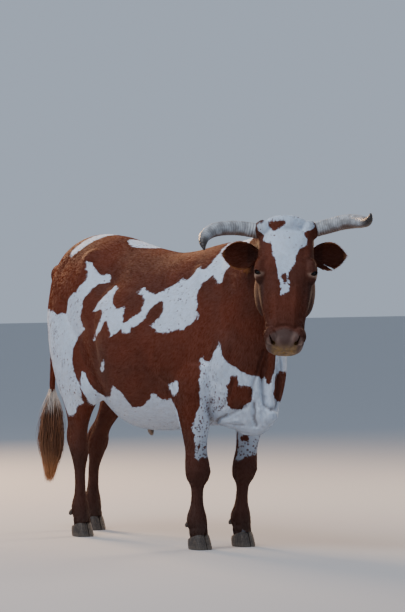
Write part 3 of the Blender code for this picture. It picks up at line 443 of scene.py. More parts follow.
# How far the flesh reaches down into the claws, and how far round each foot it is cut.
CORONET_OVERLAP = 0.004
FOOT_REACH = Vector((0.10, 0.08, 0.12))


def eye_point(side):
    return head_frame() @ mirrored(EYE_PLACE, side)


def eye_middle(side):
    """The middle of the eyeball that shows, which sits a little nearer the brow than the solid's."""
    along, left, out = EYE_PLACE
    return head_frame() @ mirrored((along, left + EYE_OUTWARDS, out + EYE_FORWARDS), side)


def eye_turn(side):
    """The eye's own axes in the head's: towards its inner corner, across its slit and the way it looks."""
    out = mirrored(EYE_LOOK, side).normalized()
    along = mirrored(EYE_INNER_CORNER, side)
    along = (along - out * along.dot(out)).normalized()
    return Matrix((along, out.cross(along), out)).transposed()


def frame_shift():
    """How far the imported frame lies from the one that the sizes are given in, read from the left eye."""
    low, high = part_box("eye_left")
    return (low + high) / 2 - eye_point(1)


SHIFT = frame_shift()


def select_only(*pieces):
    for other in bpy.context.view_layer.objects:
        other.select_set(False)
    for piece in pieces:
        piece.select_set(True)
    bpy.context.view_layer.objects.active = pieces[0]


def apply_modifiers(piece):
    """Makes every modifier of a piece part of its mesh."""
    select_only(piece)
    for modifier in list(piece.modifiers):
        bpy.ops.object.modifier_apply(modifier=modifier.name)
    return piece


def join_pieces(name, pieces):
    select_only(*pieces)
    bpy.ops.object.join()
    pieces[0].name = name
    return pieces[0]


def fused(name, pieces, voxel, passes):
    """One smooth closed surface round all of these pieces."""
    piece = join_pieces(name, pieces)
    remesh = piece.modifiers.new("one_skin", "REMESH")
    remesh.mode = "VOXEL"
    remesh.voxel_size = voxel
    soften = piece.modifiers.new("soften", "SMOOTH")
    soften.factor = 0.5
    soften.iterations = passes
    return apply_modifiers(piece)


def thinned(piece, triangles):
    """The piece with about this many triangles."""
    now = sum(len(face.vertices) - 2 for face in piece.data.polygons)
    thin = piece.modifiers.new("thin", "DECIMATE")
    thin.ratio = min(1.0, triangles / now)
    return apply_modifiers(piece)


def combined(piece, others, how):
    """The piece less these closed pieces, or together with them: they are used up."""
    for other in others:
        change = piece.modifiers.new("combine", "BOOLEAN")
        change.operation = how
        change.object = other
        change.solver = "MANIFOLD"
        apply_modifiers(piece)
        bpy.data.objects.remove(other)
    return piece


def points_of(piece, what="co"):
    """The places or the outward directions of a piece's points, as rows."""
    flat = np.empty(len(piece.data.vertices) * 3)
    piece.data.vertices.foreach_get(what, flat)
    return flat.reshape(-1, 3)


def move_points(piece, points):
    piece.data.vertices.foreach_set("co", np.asarray(points, float).ravel())
    piece.data.update()
    return piece


def relaxed(piece, weight, passes):
    """The piece smoothed where weight is above nothing."""
    mesh = piece.data
    ends = np.empty(len(mesh.edges) * 2, int)
    mesh.edges.foreach_get("vertices", ends)
    one, two = ends.reshape(-1, 2).T
    count = len(mesh.vertices)
    links = np.maximum(np.bincount(one, minlength=count) + np.bincount(two, minlength=count), 1)
    points = points_of(piece)
    for _ in range(passes):
        middle = np.empty_like(points)
        for axis in range(3):
            near = np.bincount(one, points[two, axis], count) + np.bincount(two, points[one, axis], count)
            middle[:, axis] = near / links
        points += (middle - points) * (0.5 * weight)[:, None]
    return move_points(piece, points)


def line_distance(points, path):
    """How far each point lies from a line through these places."""
    best = np.full(len(points), np.inf)
    for start, end in zip(path, path[1:]):
        along = end - start
        t = np.clip(((points - start) @ along) / max(along @ along, 1e-12), 0, 1)
        best = np.minimum(best, np.linalg.norm(points - start - t[:, None] * along, axis=1))
    return best


def creased(piece, creases, carry=None):
    """The piece with soft folds along lines: each crease is its width, its push outwards and its places."""
    points, out = points_of(piece), points_of(piece, "normal")
    moved = points.copy()
    for width, push, path in creases:
        places = [Vector(p) for p in path]
        if carry is not None:
            places = [carry @ p for p in places]
        far = line_distance(points, np.array([tuple(p) for p in places]))
        moved += out * (push * np.exp(-((far / width) ** 2)))[:, None]
    return move_points(piece, moved)


def pressed(piece, strokes):
    """The piece with soft bulges and hollows: each stroke is a place, a reach and a push outwards."""
    points, out = points_of(piece), points_of(piece, "normal")
    moved = points.copy()
    for place, reach, push in strokes:
        near = np.exp(-(((points - np.array(place)) / np.array(reach)) ** 2).sum(axis=1))
        moved += out * (near * push)[:, None]
    return move_points(piece, moved)


# Soft hollows and bulges of the body's right side, which the left side has as well: where, how far it
# reaches along each axis, and how far outwards.
BODY_STROKES = (
    ((-0.15, -0.225, 1.11), (0.11, 0.08, 0.06), -0.02), ((-0.5, -0.19, 1.15), (0.09, 0.07, 0.05), -0.01),
    ((-0.31, -0.215, 1.2), (0.045, 0.04, 0.03), 0.008), ((0.215, -0.25, 0.96), (0.07, 0.08, 0.15), -0.012),
    ((0.225, -0.25, 0.72), (0.05, 0.08, 0.09), -0.014), ((0.6, -0.15, 1.03), (0.05, 0.08, 0.12), -0.01),
    ((0.35, -0.19, 0.66), (0.04, 0.06, 0.04), 0.01), ((0.47, -0.18, 0.9), (0.03, 0.06, 0.12), -0.005),
    ((-0.64, -0.16, 0.88), (0.03, 0.06, 0.13), -0.006), ((-0.33, -0.2, 0.64), (0.06, 0.06, 0.06), 0.01),
    ((-0.4, -0.2, 0.8), (0.06, 0.06, 0.1), 0.006), ((-0.2, -0.2, 0.6), (0.06, 0.06, 0.06), -0.008),
)


def body_strokes():
    return [((x, y * side, z), reach, push) for (x, y, z), reach, push in BODY_STROKES for side in (1, -1)]


def tube(name, path, radii, points=12):
    """A round rod along a path, its radius given at each point of it."""
    rings = []
    across = None
    for i, here in enumerate(path):
        along = (path[min(i + 1, len(path) - 1)] - path[max(i - 1, 0)]).normalized()
        if across is None:
            across = along.orthogonal().normalized()
        across = (across - along * across.dot(along)).normalized()
        other = along.cross(across)
        rings.append([
            here + (across * math.cos(a) + other * math.sin(a)) * radii[i]
            for a in (2 * math.pi * k / points for k in range(points))
        ])
    return loft(name, rings)


def smooth_path(rows, count):
    """Points and radii on a smooth curve through rows of x, y, z and radius."""
    found = eased(rows, count)
    return [Vector(row[:3]) for row in found], [float(row[3]) for row in found]


def face_on():
    """Carries forwards, left and up, seen face on, to the head in place."""
    forwards = Vector((math.cos(HEAD_TURN), math.sin(HEAD_TURN), 0))
    up = Vector((0, 0, 1))
    left = up.cross(forwards)
    lean = Matrix.Rotation(HEAD_LEAN, 4, forwards)
    return Matrix.Translation(POLL) @ lean @ Matrix((forwards, left, up)).transposed().to_4x4()


# The horns, seen face on: forwards, left and up from the poll, and how thick.
HORN_RIGHT = (
    (-0.035, -0.075, -0.062, 0.03), (-0.036, -0.123, -0.054, 0.03), (-0.03, -0.183, -0.046, 0.0295),
    (-0.005, -0.246, -0.047, 0.029), (0.035, -0.299, -0.06, 0.027), (0.078, -0.328, -0.086, 0.022),
    (0.106, -0.331, -0.112, 0.014), (0.12, -0.326, -0.134, 0.004),
)
HORN_LEFT = (
    (-0.035, 0.075, -0.056, 0.03), (-0.036, 0.121, -0.042, 0.03), (-0.032, 0.167, -0.029, 0.03),
    (-0.018, 0.214, -0.015, 0.03), (0.012, 0.264, -0.007, 0.029), (0.06, 0.3, -0.008, 0.024),
    (0.098, 0.318, -0.006, 0.018), (0.122, 0.327, 0.008, 0.011), (0.128, 0.329, 0.026, 0.004),
)


# The tail: its path and how thick it is, down to where the long hair starts.
TAIL = (
    (-0.64, 0, 1.18, 0.034), (-0.688, -0.001, 1.196, 0.032), (-0.728, -0.004, 1.168, 0.029),
    (-0.752, -0.01, 1.105, 0.025), (-0.768, -0.022, 1, 0.021), (-0.772, -0.036, 0.87, 0.018),
    (-0.77, -0.048, 0.74, 0.0155), (-0.767, -0.056, 0.6, 0.014),
)


# Folds and edges of muscle on the body: width, push outwards and the line, on the right side. The left
# side has them too.
BODY_CREASES = (
    (0.022, -0.005, ((0.5, -0.07, 1.22), (0.56, -0.14, 1.05), (0.6, -0.16, 0.9), (0.58, -0.16, 0.78))),
    (0.03, -0.0055, ((0.3, -0.2, 1.1), (0.25, -0.25, 0.95), (0.24, -0.26, 0.8), (0.27, -0.22, 0.68))),
    (0.014, -0.0045, ((0.28, -0.23, 0.7), (0.36, -0.22, 0.655), (0.45, -0.2, 0.67))),
    (0.016, -0.0035, ((0.47, -0.2, 0.96), (0.44, -0.22, 0.84), (0.4, -0.23, 0.74))),
    (0.024, -0.0055, ((-0.14, -0.2, 1.13), (-0.17, -0.26, 0.95), (-0.12, -0.27, 0.75))),
    (0.018, 0.003, ((-0.2, -0.22, 0.6), (-0.26, -0.22, 0.71), (-0.32, -0.22, 0.84))),
    (0.016, -0.003, ((-0.16, -0.23, 0.62), (-0.225, -0.235, 0.73), (-0.27, -0.23, 0.86))),
    (0.014, -0.0045, ((-0.6, -0.14, 1.08), (-0.6, -0.17, 0.95), (-0.56, -0.16, 0.8), (-0.53, -0.14, 0.68))),
    (0.02, -0.0035, ((-0.38, -0.19, 1.12), (-0.44, -0.21, 0.98), (-0.45, -0.2, 0.82),
        (-0.45, -0.18, 0.68))),
    (0.03, 0.003, ((-0.33, -0.21, 1.14), (-0.35, -0.22, 1), (-0.36, -0.22, 0.85))),
    (0.012, -0.003, ((-0.7, -0.06, 1.07), (-0.69, -0.085, 0.95), (-0.64, -0.1, 0.82))),
)
# The brisket hangs between the forelegs as a soft bag: where, how far each bulge reaches and how far
# outwards it goes.
BRISKET = (
    ((0.6, 0, 0.505), (0.12, 0.08, 0.05), 0.03), ((0.735, 0, 0.555), (0.036, 0.05, 0.032), 0.026),
    ((0.5, -0.07, 0.545), (0.06, 0.04, 0.03), 0.006),
)
# The folds of the brisket and dewlap, whose lines are laid on the skin: width, push and places.
BRISKET_FOLDS = (
    (0.008, -0.011, ((0.37, -0.03, 0.508), (0.43, -0.06, 0.52), (0.49, -0.085, 0.54),
        (0.555, -0.092, 0.556))),
    (0.01, -0.005, ((0.555, -0.092, 0.556), (0.61, -0.088, 0.575), (0.66, -0.07, 0.6))),
    (0.0065, -0.006, ((0.39, -0.03, 0.505), (0.46, -0.06, 0.505), (0.54, -0.07, 0.51),
        (0.62, -0.06, 0.515))),
    (0.006, -0.005, ((0.4, -0.025, 0.5), (0.47, -0.045, 0.492), (0.55, -0.04, 0.485),
        (0.62, -0.03, 0.485))),
    (0.008, 0.004, ((0.44, -0.06, 0.512), (0.52, -0.08, 0.525), (0.6, -0.078, 0.535))),
    (0.009, -0.01, ((0.69, -0.058, 0.61), (0.69, -0.058, 0.581), (0.677, -0.05, 0.547),
        (0.672, -0.036, 0.515))),
    (0.008, -0.009, ((0.722, -0.032, 0.63), (0.726, -0.028, 0.6), (0.733, -0.01, 0.585),
        (0.735, 0.01, 0.58))),
    (0.01, 0.006, ((0.705, -0.045, 0.58), (0.705, -0.04, 0.545), (0.7, -0.02, 0.52))),
    (0.016, -0.007, ((0.51, -0.145, 0.617), (0.479, -0.129, 0.574), (0.416, -0.074, 0.525))),
    (0.009, -0.005, ((0.76, -0.03, 0.86), (0.74, -0.04, 0.78), (0.722, -0.04, 0.7), (0.715, -0.036, 0.64))),
    (0.008, -0.0045, ((0.735, -0.045, 0.82), (0.715, -0.06, 0.74), (0.69, -0.066, 0.68),
        (0.68, -0.062, 0.64))),
    (0.012, -0.004, ((0.64, -0.11, 0.72), (0.61, -0.115, 0.65), (0.56, -0.11, 0.6))),
)
# Folds of the neck's right side, where the head is turned to it.
NECK_CREASES = (
    (0.007, -0.004, ((0.735, -0.09, 1.235), (0.752, -0.105, 1.13), (0.76, -0.085, 1.02))),
    (0.008, -0.004, ((0.7, -0.095, 1.225), (0.715, -0.115, 1.12), (0.725, -0.1, 1))),
    (0.009, -0.003, ((0.66, -0.1, 1.215), (0.672, -0.125, 1.11), (0.685, -0.115, 0.98))),
)
# The finer shape of each leg below the elbow or stifle: width, push, and a line given from the foot's
# own middle: along, across and height.
LEG_CREASES = {
    "fore": (
        (0.006, -0.003, ((-0.012, 0.026, 0.13), (-0.012, 0.024, 0.25))),
        (0.007, 0.003, ((-0.026, 0.01, 0.13), (-0.028, 0.01, 0.26))),
        (0.009, -0.004, ((0.01, 0.045, 0.272), (-0.03, 0.04, 0.272))),
        (0.01, 0.003, ((0.035, 0.03, 0.32), (0.03, -0.03, 0.32))),
        (0.01, -0.004, ((-0.04, 0.03, 0.32), (-0.045, 0.02, 0.36))),
        (0.01, -0.0035, ((-0.01, 0.048, 0.4), (-0.015, 0.056, 0.52))),
        (0.006, -0.0025, ((-0.03, 0.03, 0.084), (0.03, 0.036, 0.09))),
    ),
    "hind": (
        (0.007, -0.0035, ((-0.014, 0.026, 0.15), (-0.014, 0.024, 0.29))),
        (0.007, 0.003, ((-0.028, 0.008, 0.14), (-0.032, 0.008, 0.3))),
        (0.01, -0.005, ((-0.04, 0.036, 0.4), (-0.05, 0.034, 0.47), (-0.06, 0.04, 0.54))),
        (0.01, 0.003, ((0.02, 0.034, 0.36), (0.018, 0.034, 0.4))),
        (0.012, -0.0035, ((0, 0.05, 0.5), (0.02, 0.06, 0.6))),
        (0.006, -0.0025, ((-0.028, 0.03, 0.084), (0.028, 0.034, 0.09))),
    ),
}

# The same for the head, in its own frame: along the face, to its left and out of the brow.
HEAD_CREASES = (
    (0.014, 0.0014, ((0.262, 0.108, -0.078), (0.33, 0.096, -0.086), (0.4, 0.082, -0.082))),
    (0.016, -0.001, ((0.275, 0.108, -0.104), (0.35, 0.096, -0.112), (0.42, 0.082, -0.106))),
    (0.013, 0.0062, ((0.165, 0.086, -0.008), (0.192, 0.106, -0.012), (0.225, 0.112, -0.018),
        (0.252, 0.106, -0.03))),
    (0.02, -0.0055, ((0.12, 0.112, -0.062), (0.17, 0.118, -0.092))),
    (0.017, -0.0065, ((0.262, 0.085, -0.03), (0.33, 0.074, -0.034), (0.41, 0.064, -0.04))),
    (0.018, -0.004, ((0.13, 0.075, -0.004), (0.175, 0.08, -0.008))),
    (0.01, 0.003, ((0.3, 0.044, -0.002), (0.4, 0.038, -0.012), (0.45, 0.036, -0.016))),
    (0.012, 0.0012, ((0.25, 0.04, 0), (0.4, 0.036, -0.012))),
    (0.007, -0.0024, ((0.468, 0.078, -0.062), (0.466, 0.044, -0.024), (0.456, 0, -0.018))),
    (0.004, -0.002, ((0.505, 0, -0.036), (0.542, 0, -0.09))),
    (0.009, 0.0024, ((0.44, 0.078, -0.104), (0.49, 0.068, -0.104), (0.528, 0.036, -0.106),
        (0.537, 0, -0.108))),
    (0.01, 0.0022, ((0.44, 0.066, -0.132), (0.49, 0.056, -0.132), (0.515, 0.026, -0.132),
        (0.52, 0, -0.132))),
    (0.005, -0.0024, ((0.402, 0.084, -0.104), (0.388, 0.086, -0.128))),
    (0.005, -0.0018, ((0.412, 0.084, -0.092), (0.396, 0.088, -0.086))),
    (0.016, 0.003, ((0.13, 0.074, -0.212), (0.23, 0.066, -0.228), (0.32, 0.054, -0.204))),
    (0.014, -0.004, ((0.08, 0.1, -0.15), (0.11, 0.1, -0.196))),
    (0.012, -0.0035, ((0.34, 0.094, -0.14), (0.35, 0.08, -0.176))),
    (0.004, -0.0014, ((0.188, 0.112, -0.02), (0.214, 0.116, -0.014), (0.24, 0.112, -0.022))),
    (0.004, -0.0012, ((0.18, 0.112, -0.012), (0.214, 0.114, -0.004), (0.246, 0.108, -0.014))),
    (0.004, -0.0014, ((0.205, 0.128, -0.072), (0.232, 0.126, -0.074), (0.252, 0.118, -0.06))),
    (0.005, -0.0012, ((0.2, 0.126, -0.086), (0.236, 0.122, -0.088), (0.262, 0.112, -0.072))),
    (0.006, 0.0018, ((0.25, 0.112, -0.04), (0.285, 0.1, -0.036), (0.32, 0.09, -0.044))),
)


def both_sides(creases):
    """These creases and the same ones turned over to the other side."""
    turned = [(width, push, [(x, -y, z) for x, y, z in path]) for width, push, path in creases]
    return [*creases, *turned]


def leg_creases():
    found = []
    for foot, (x, y) in FEET.items():
        for side in (-1, 1):
            out = side * side_of(foot)
            for width, push, path in LEG_CREASES[foot.split("_")[0]]:
                line = []
                for along, across, z in path:
                    forwards, outwards = lean(foot, z)
                    line.append((x + forwards + along, y + outwards + across * out, z))
                found.append((width, push, line))
    return found


def tail_form():
    path, radii = smooth_path(TAIL, 40)
    return tube("tail_form", path, radii, 24)


def split_wide_faces(mesh):
    bmesh.ops.triangulate(mesh, faces=[face for face in mesh.faces if len(face.verts) > 4])


def trim_below_coronets(piece):
    """Cuts the legs off level with the tops of the claws and closes them."""
    def trim(mesh):
        normal = Vector((-CORONET_SLOPE, 0, 1)).normalized()
        for x, y in FEET.values():
            middle = Vector((x + FOOT_LEAN, y, CORONET - CORONET_OVERLAP))
            foot = [v for v in mesh.verts if v.co.z < FOOT_REACH.z]
            near = [v for v in foot if abs(v.co.x - x) < FOOT_REACH.x and abs(v.co.y - y) < FOOT_REACH.y]
            faces = {face for v in near for face in v.link_faces}
            edges = {edge for face in faces for edge in face.edges}
            verts = {v for face in faces for v in face.verts}
            made = bmesh.ops.bisect_plane(mesh, geom=[*verts, *edges, *faces], plane_co=middle,
                                          plane_no=normal, clear_inner=True)
            rim = [item for item in made["geom_cut"] if isinstance(item, bmesh.types.BMEdge)]
            bmesh.ops.edgeloop_fill(mesh, edges=rim)
        split_wide_faces(mesh)
    return reshaped(piece, trim)


def cut_at(piece, place, forwards, keep_front):
    """The part of a mesh on one side of a plane, left open there."""
    def cut(mesh):
        geometry = [*mesh.verts, *mesh.edges, *mesh.faces]
        bmesh.ops.bisect_plane(mesh, geom=geometry, plane_co=place, plane_no=forwards,
                               clear_inner=keep_front, clear_outer=not keep_front)
    return reshaped(piece, cut)


def laid_on(piece, creases):
    """These creases with their lines drawn onto the skin."""
    tree = BVHTree.FromPolygons([tuple(p) for p in points_of(piece)], triangles_of(piece).tolist())
    found = []
    for width, push, path in creases:
        line = [Vector(row) for row in eased(path, 4 * len(path))]
        found.append((width, push, [tree.find_nearest(place)[0] for place in line]))
    return found


def body_form():
    voxel, passes, triangles = BODY_FINE
    pieces = [trunk(), neck(), dewlap()]
    pieces += [leg(foot) for foot in FEET]
    pieces += [*muscles(), tail_form()]
    body = fused("body_form", pieces, voxel, passes)
    pressed(body, body_strokes())
    pressed(body, BRISKET)
    creased(body, [*both_sides(BODY_CREASES), *NECK_CREASES, *leg_creases()])
    creased(body, laid_on(body, both_sides(BRISKET_FOLDS)))
    cut_at(body, COLLAR, COLLAR_FORWARDS, False)
    return thinned(body, triangles)


# The opening between the lids: half its length, and how far it reaches below and above the middle.
LID_OPENING = (0.0186, 0.0106, 0.0068)
# A nostril's ends, above outside and below inside, and the way that it opens.
NOSTRIL = ((0.494, 0.0600, -0.022), (0.528, 0.0400, -0.054), (0.55, 0.30, 0.78))


def lid_slit(side):
    """The almond-shaped opening between the lids, the upper one the lower set, as a closed prism."""
    along, up, out = (Vector(axis) for axis in eye_turn(side).transposed())
    half, low, high = LID_OPENING
    loop = []
    for k in range(40):
        a = 2 * math.pi * k / 40
        rise = high if math.sin(a) * side < 0 else low
        loop.append(along * half * math.cos(a) + up * rise * math.sin(a) * abs(math.sin(a)) ** 0.3)
    sizes = ((0.004, 0.80), (0.020, 0.98), (0.036, 1.16))
    rings = [[p * grow + out * far for p in loop] for far, grow in sizes]
    made = loft("lid_slit", rings)
    made.data.transform(Matrix.Translation(eye_middle(side)) @ head_turn())
    return made


def nostril(side):
    """A comma-shaped pit: a slit that runs from above and outside to a wider hole below and inside."""
    top, low, out = (mirrored(place, side) for place in NOSTRIL)
    along = (low - top).normalized()
    out = (out - along * out.dot(along)).normalized()
    turn = Matrix((along, out.cross(along), out)).transposed().to_4x4()
    made = []
    for share, radii in ((0.50, (0.0250, 0.0042, 0.0170)), (0.70, (0.0125, 0.0078, 0.0200))):
        pit = ball("nostril", (0, 0, 0), radii)
        pit.data.transform(head_frame() @ Matrix.Translation(top.lerp(low, share)) @ turn)
        made.append(pit)
    return made


# The line of the mouth from its corner to the middle of the front: along the face and to the side.
MOUTH = (
    (0.395, 0.08), (0.42, 0.074), (0.445, 0.071), (0.47, 0.067), (0.504, 0.057), (0.526, 0.036), (0.532, 0),
)
MOUTH_LEVEL = -0.116


def mouth_line():
    """A thin bent blade that presses the line of the mouth into the muzzle's front and sides."""
    outline = [*MOUTH, *((u, -v) for u, v in MOUTH[-2::-1])]
    points, faces = [], []
    for u, v in outline:
        far_u = u + 0.06 if abs(v) < 0.06 else u
        far_v = v + math.copysign(0.05, v) if v else 0.0
        level = MOUTH_LEVEL - 0.20 * max(0.0, 0.49 - u) ** 1.3
        points += [(u, v, level + 0.0003), (far_u, far_v, level + 0.0030),
                   (far_u, far_v, level - 0.0030), (u, v, level - 0.0003)]
    count = len(outline)
    for start in range(0, 4 * count - 4, 4):
        for k in range(4):
            j = (k + 1) % 4
            faces.append((start + k, start + j, start + 4 + j, start + 4 + k))
    faces += [(3, 2, 1, 0), tuple(range(4 * count - 4, 4 * count))]
    made = solid("mouth_line", points, faces)
    made.data.transform(head_frame())
    return made


# An ear lies along its own X, opens to its own Z and is as wide as its own Y: along, half width above
# and below, depth of the cup and how thick its wall is.
EAR = (
    (-0.03, 0.016, -0.016, 0.026, 0.008), (0, 0.021, -0.021, 0.034, 0.0064),
    (0.022, 0.03, -0.03, 0.04, 0.006), (0.045, 0.044, -0.045, 0.04, 0.0052),
    (0.07, 0.053, -0.056, 0.034, 0.0046), (0.095, 0.055, -0.059, 0.027, 0.004),
    (0.12, 0.047, -0.051, 0.019, 0.0036), (0.143, 0.031, -0.034, 0.012, 0.0033),
    (0.16, 0.012, -0.014, 0.007, 0.003), (0.166, 0.004, -0.005, 0.005, 0.0026),
)
EAR_PLACE = {-1: Vector((-0.052, -0.102, -0.155)), 1: Vector((-0.052, 0.094, -0.150))}
EAR_SWEEP = math.radians(24)


def ear_frame(side):
    """Carries an ear's own axes, along it, up across it and out of its cup, into place."""
    x = Vector((-math.sin(EAR_SWEEP), math.cos(EAR_SWEEP) * side, 0.02)).normalized()
    opening = Vector((math.cos(EAR_SWEEP), math.sin(EAR_SWEEP) * side, -0.10))
    y = opening.cross(x).normalized()
    z = x.cross(y)
    if y.z < 0:
        y = -y
    turn = Matrix((x, y, z if z.dot(opening) > 0 else -z)).transposed().to_4x4()
    return face_on() @ Matrix.Translation(EAR_PLACE[side]) @ turn


# The notch in the left ear, along the ear and across it.
TEAR = (
    (0.077, -0.036), (0.095, -0.05), (0.105, -0.06), (0.118, -0.082), (0.142, -0.068), (0.112, -0.05),
)


def torn_edge():
    """A wedge through the left ear's lower edge, where it is torn."""
    points = [(x, y, z) for z in (-0.08, 0.04) for x, y in TEAR]
    count = len(TEAR)
    faces = [tuple(range(count)), tuple(range(2 * count - 1, count - 1, -1))]
    faces += [(i, i + count, (i + 1) % count + count, (i + 1) % count) for i in range(count)]
    return solid("torn_edge", points, faces)


def ear(side, across=27):
    """An ear as a cup of sections, its outer wall first and its inner wall back again."""
    rings = []
    for x, above, below, deep, wall in eased(EAR, 44):
        outer, inner = [], []
        for k in range(across):
            t = -1 + 2 * k / (across - 1)
            edge = above if t > 0 else -below
            y = edge * math.copysign(abs(math.sin(t * math.pi / 2)), t)
            z = -deep * math.cos(t * math.pi / 2) ** 0.8
            shrink = 1 - wall / max(edge, 0.008)
            lift = wall * (0.4 + 0.9 * math.cos(t * math.pi / 2))
            outer.append(Vector((x, y, z)))
            inner.append(Vector((x, y * max(shrink, 0.35), z + lift)))
        rings.append(outer + inner[::-1])
    made = loft("ear_form", rings)
    if side > 0:
        combined(made, [torn_edge()], "DIFFERENCE")
    made.data.transform(ear_frame(side))
    return reshaped(made, turn_outwards)


def near_places(points, places, reach):
    """1 at these places, falling to 0 at this reach."""
    best = np.zeros(len(points))
    for place in places:
        far = np.linalg.norm(points - np.array(place), axis=1)
        best = np.maximum(best, np.clip(1.5 - 1.5 * far / reach, 0, 1))
    return best


def head_form():
    voxel, passes, triangles = HEAD_FINE
    head = fused("head_form", [neck(), dewlap(), *head_masses()], voxel, passes)
    pressed(head, body_strokes())
    creased(head, NECK_CREASES)
    creased(head, both_sides(HEAD_CREASES), head_frame())
    for side in (-1, 1):
        lids = ball("lids", eye_middle(side), (EYE_RADIUS + EYE_LIDS,) * 3, head_turn(), 5)
        combined(head, [lids], "UNION")
    relaxed(head, near_places(points_of(head), [eye_middle(-1), eye_middle(1)], 0.045), 10)
    thinned(head, triangles)
    for side in (-1, 1):
        socket = ball("socket", eye_middle(side), (EYE_RADIUS + SOCKET_GAP,) * 3, head_turn(), 5)
        combined(head, [socket, lid_slit(side), *nostril(side)], "DIFFERENCE")
    combined(head, [mouth_line()], "DIFFERENCE")
    for side in (-1, 1):
        combined(head, [ear(side)], "UNION")
    soft = [head_frame() @ mirrored((0.53, 0.05, -0.04), side) for side in (-1, 1)]
    roots = [face_on() @ (EAR_PLACE[side] + Vector((0, 0.015 * side, 0))) for side in (-1, 1)]
    points = points_of(head)
    weight = np.maximum(near_places(points, soft, 0.035) * 0.5, near_places(points, roots, 0.05))
    relaxed(head, weight, 4)
    return cut_at(head, COLLAR + COLLAR_FORWARDS * COLLAR_GAP, COLLAR_FORWARDS, True)


def bridged(name, body, head):
    """The body and the head as one mesh, with their two open edges joined."""
    def bridge(mesh):
        rims = [edge for edge in mesh.edges if len(edge.link_faces) == 1]
        bmesh.ops.bridge_loops(mesh, edges=rims)
        split_wide_faces(mesh)
        turn_outwards(mesh)
    made = reshaped(join_pieces(name, [body, head]), bridge)
    far = (points_of(made) - np.array(COLLAR)) @ np.array(COLLAR_FORWARDS)
    return relaxed(made, np.clip(1.6 - np.abs(far) / 0.02, 0, 1), 8)


# Markings. Each is seen from one side: "right" and "left" outlines are given forwards and up, "front"
# ones to the right and up as seen from before the right shoulder, which the face is turned to, and
# "top" ones forwards and to the left.
FACING_AZIMUTH = math.radians(53.5)
VIEWS = {
    "right": ((1, 0, 0), (0, 0, 1), (0, -1, 0)),
    "left": ((1, 0, 0), (0, 0, 1), (0, 1, 0)),
    "top": ((1, 0, 0), (0, 1, 0), (0, 0, 1)),
    "front": (
        (math.cos(FACING_AZIMUTH), math.sin(FACING_AZIMUTH), 0),
        (0, 0, 1),
        (math.sin(FACING_AZIMUTH), -math.cos(FACING_AZIMUTH), 0),
    ),
}
ALL_ROUND = ((-2, -1, -1), (2, 1, 2))
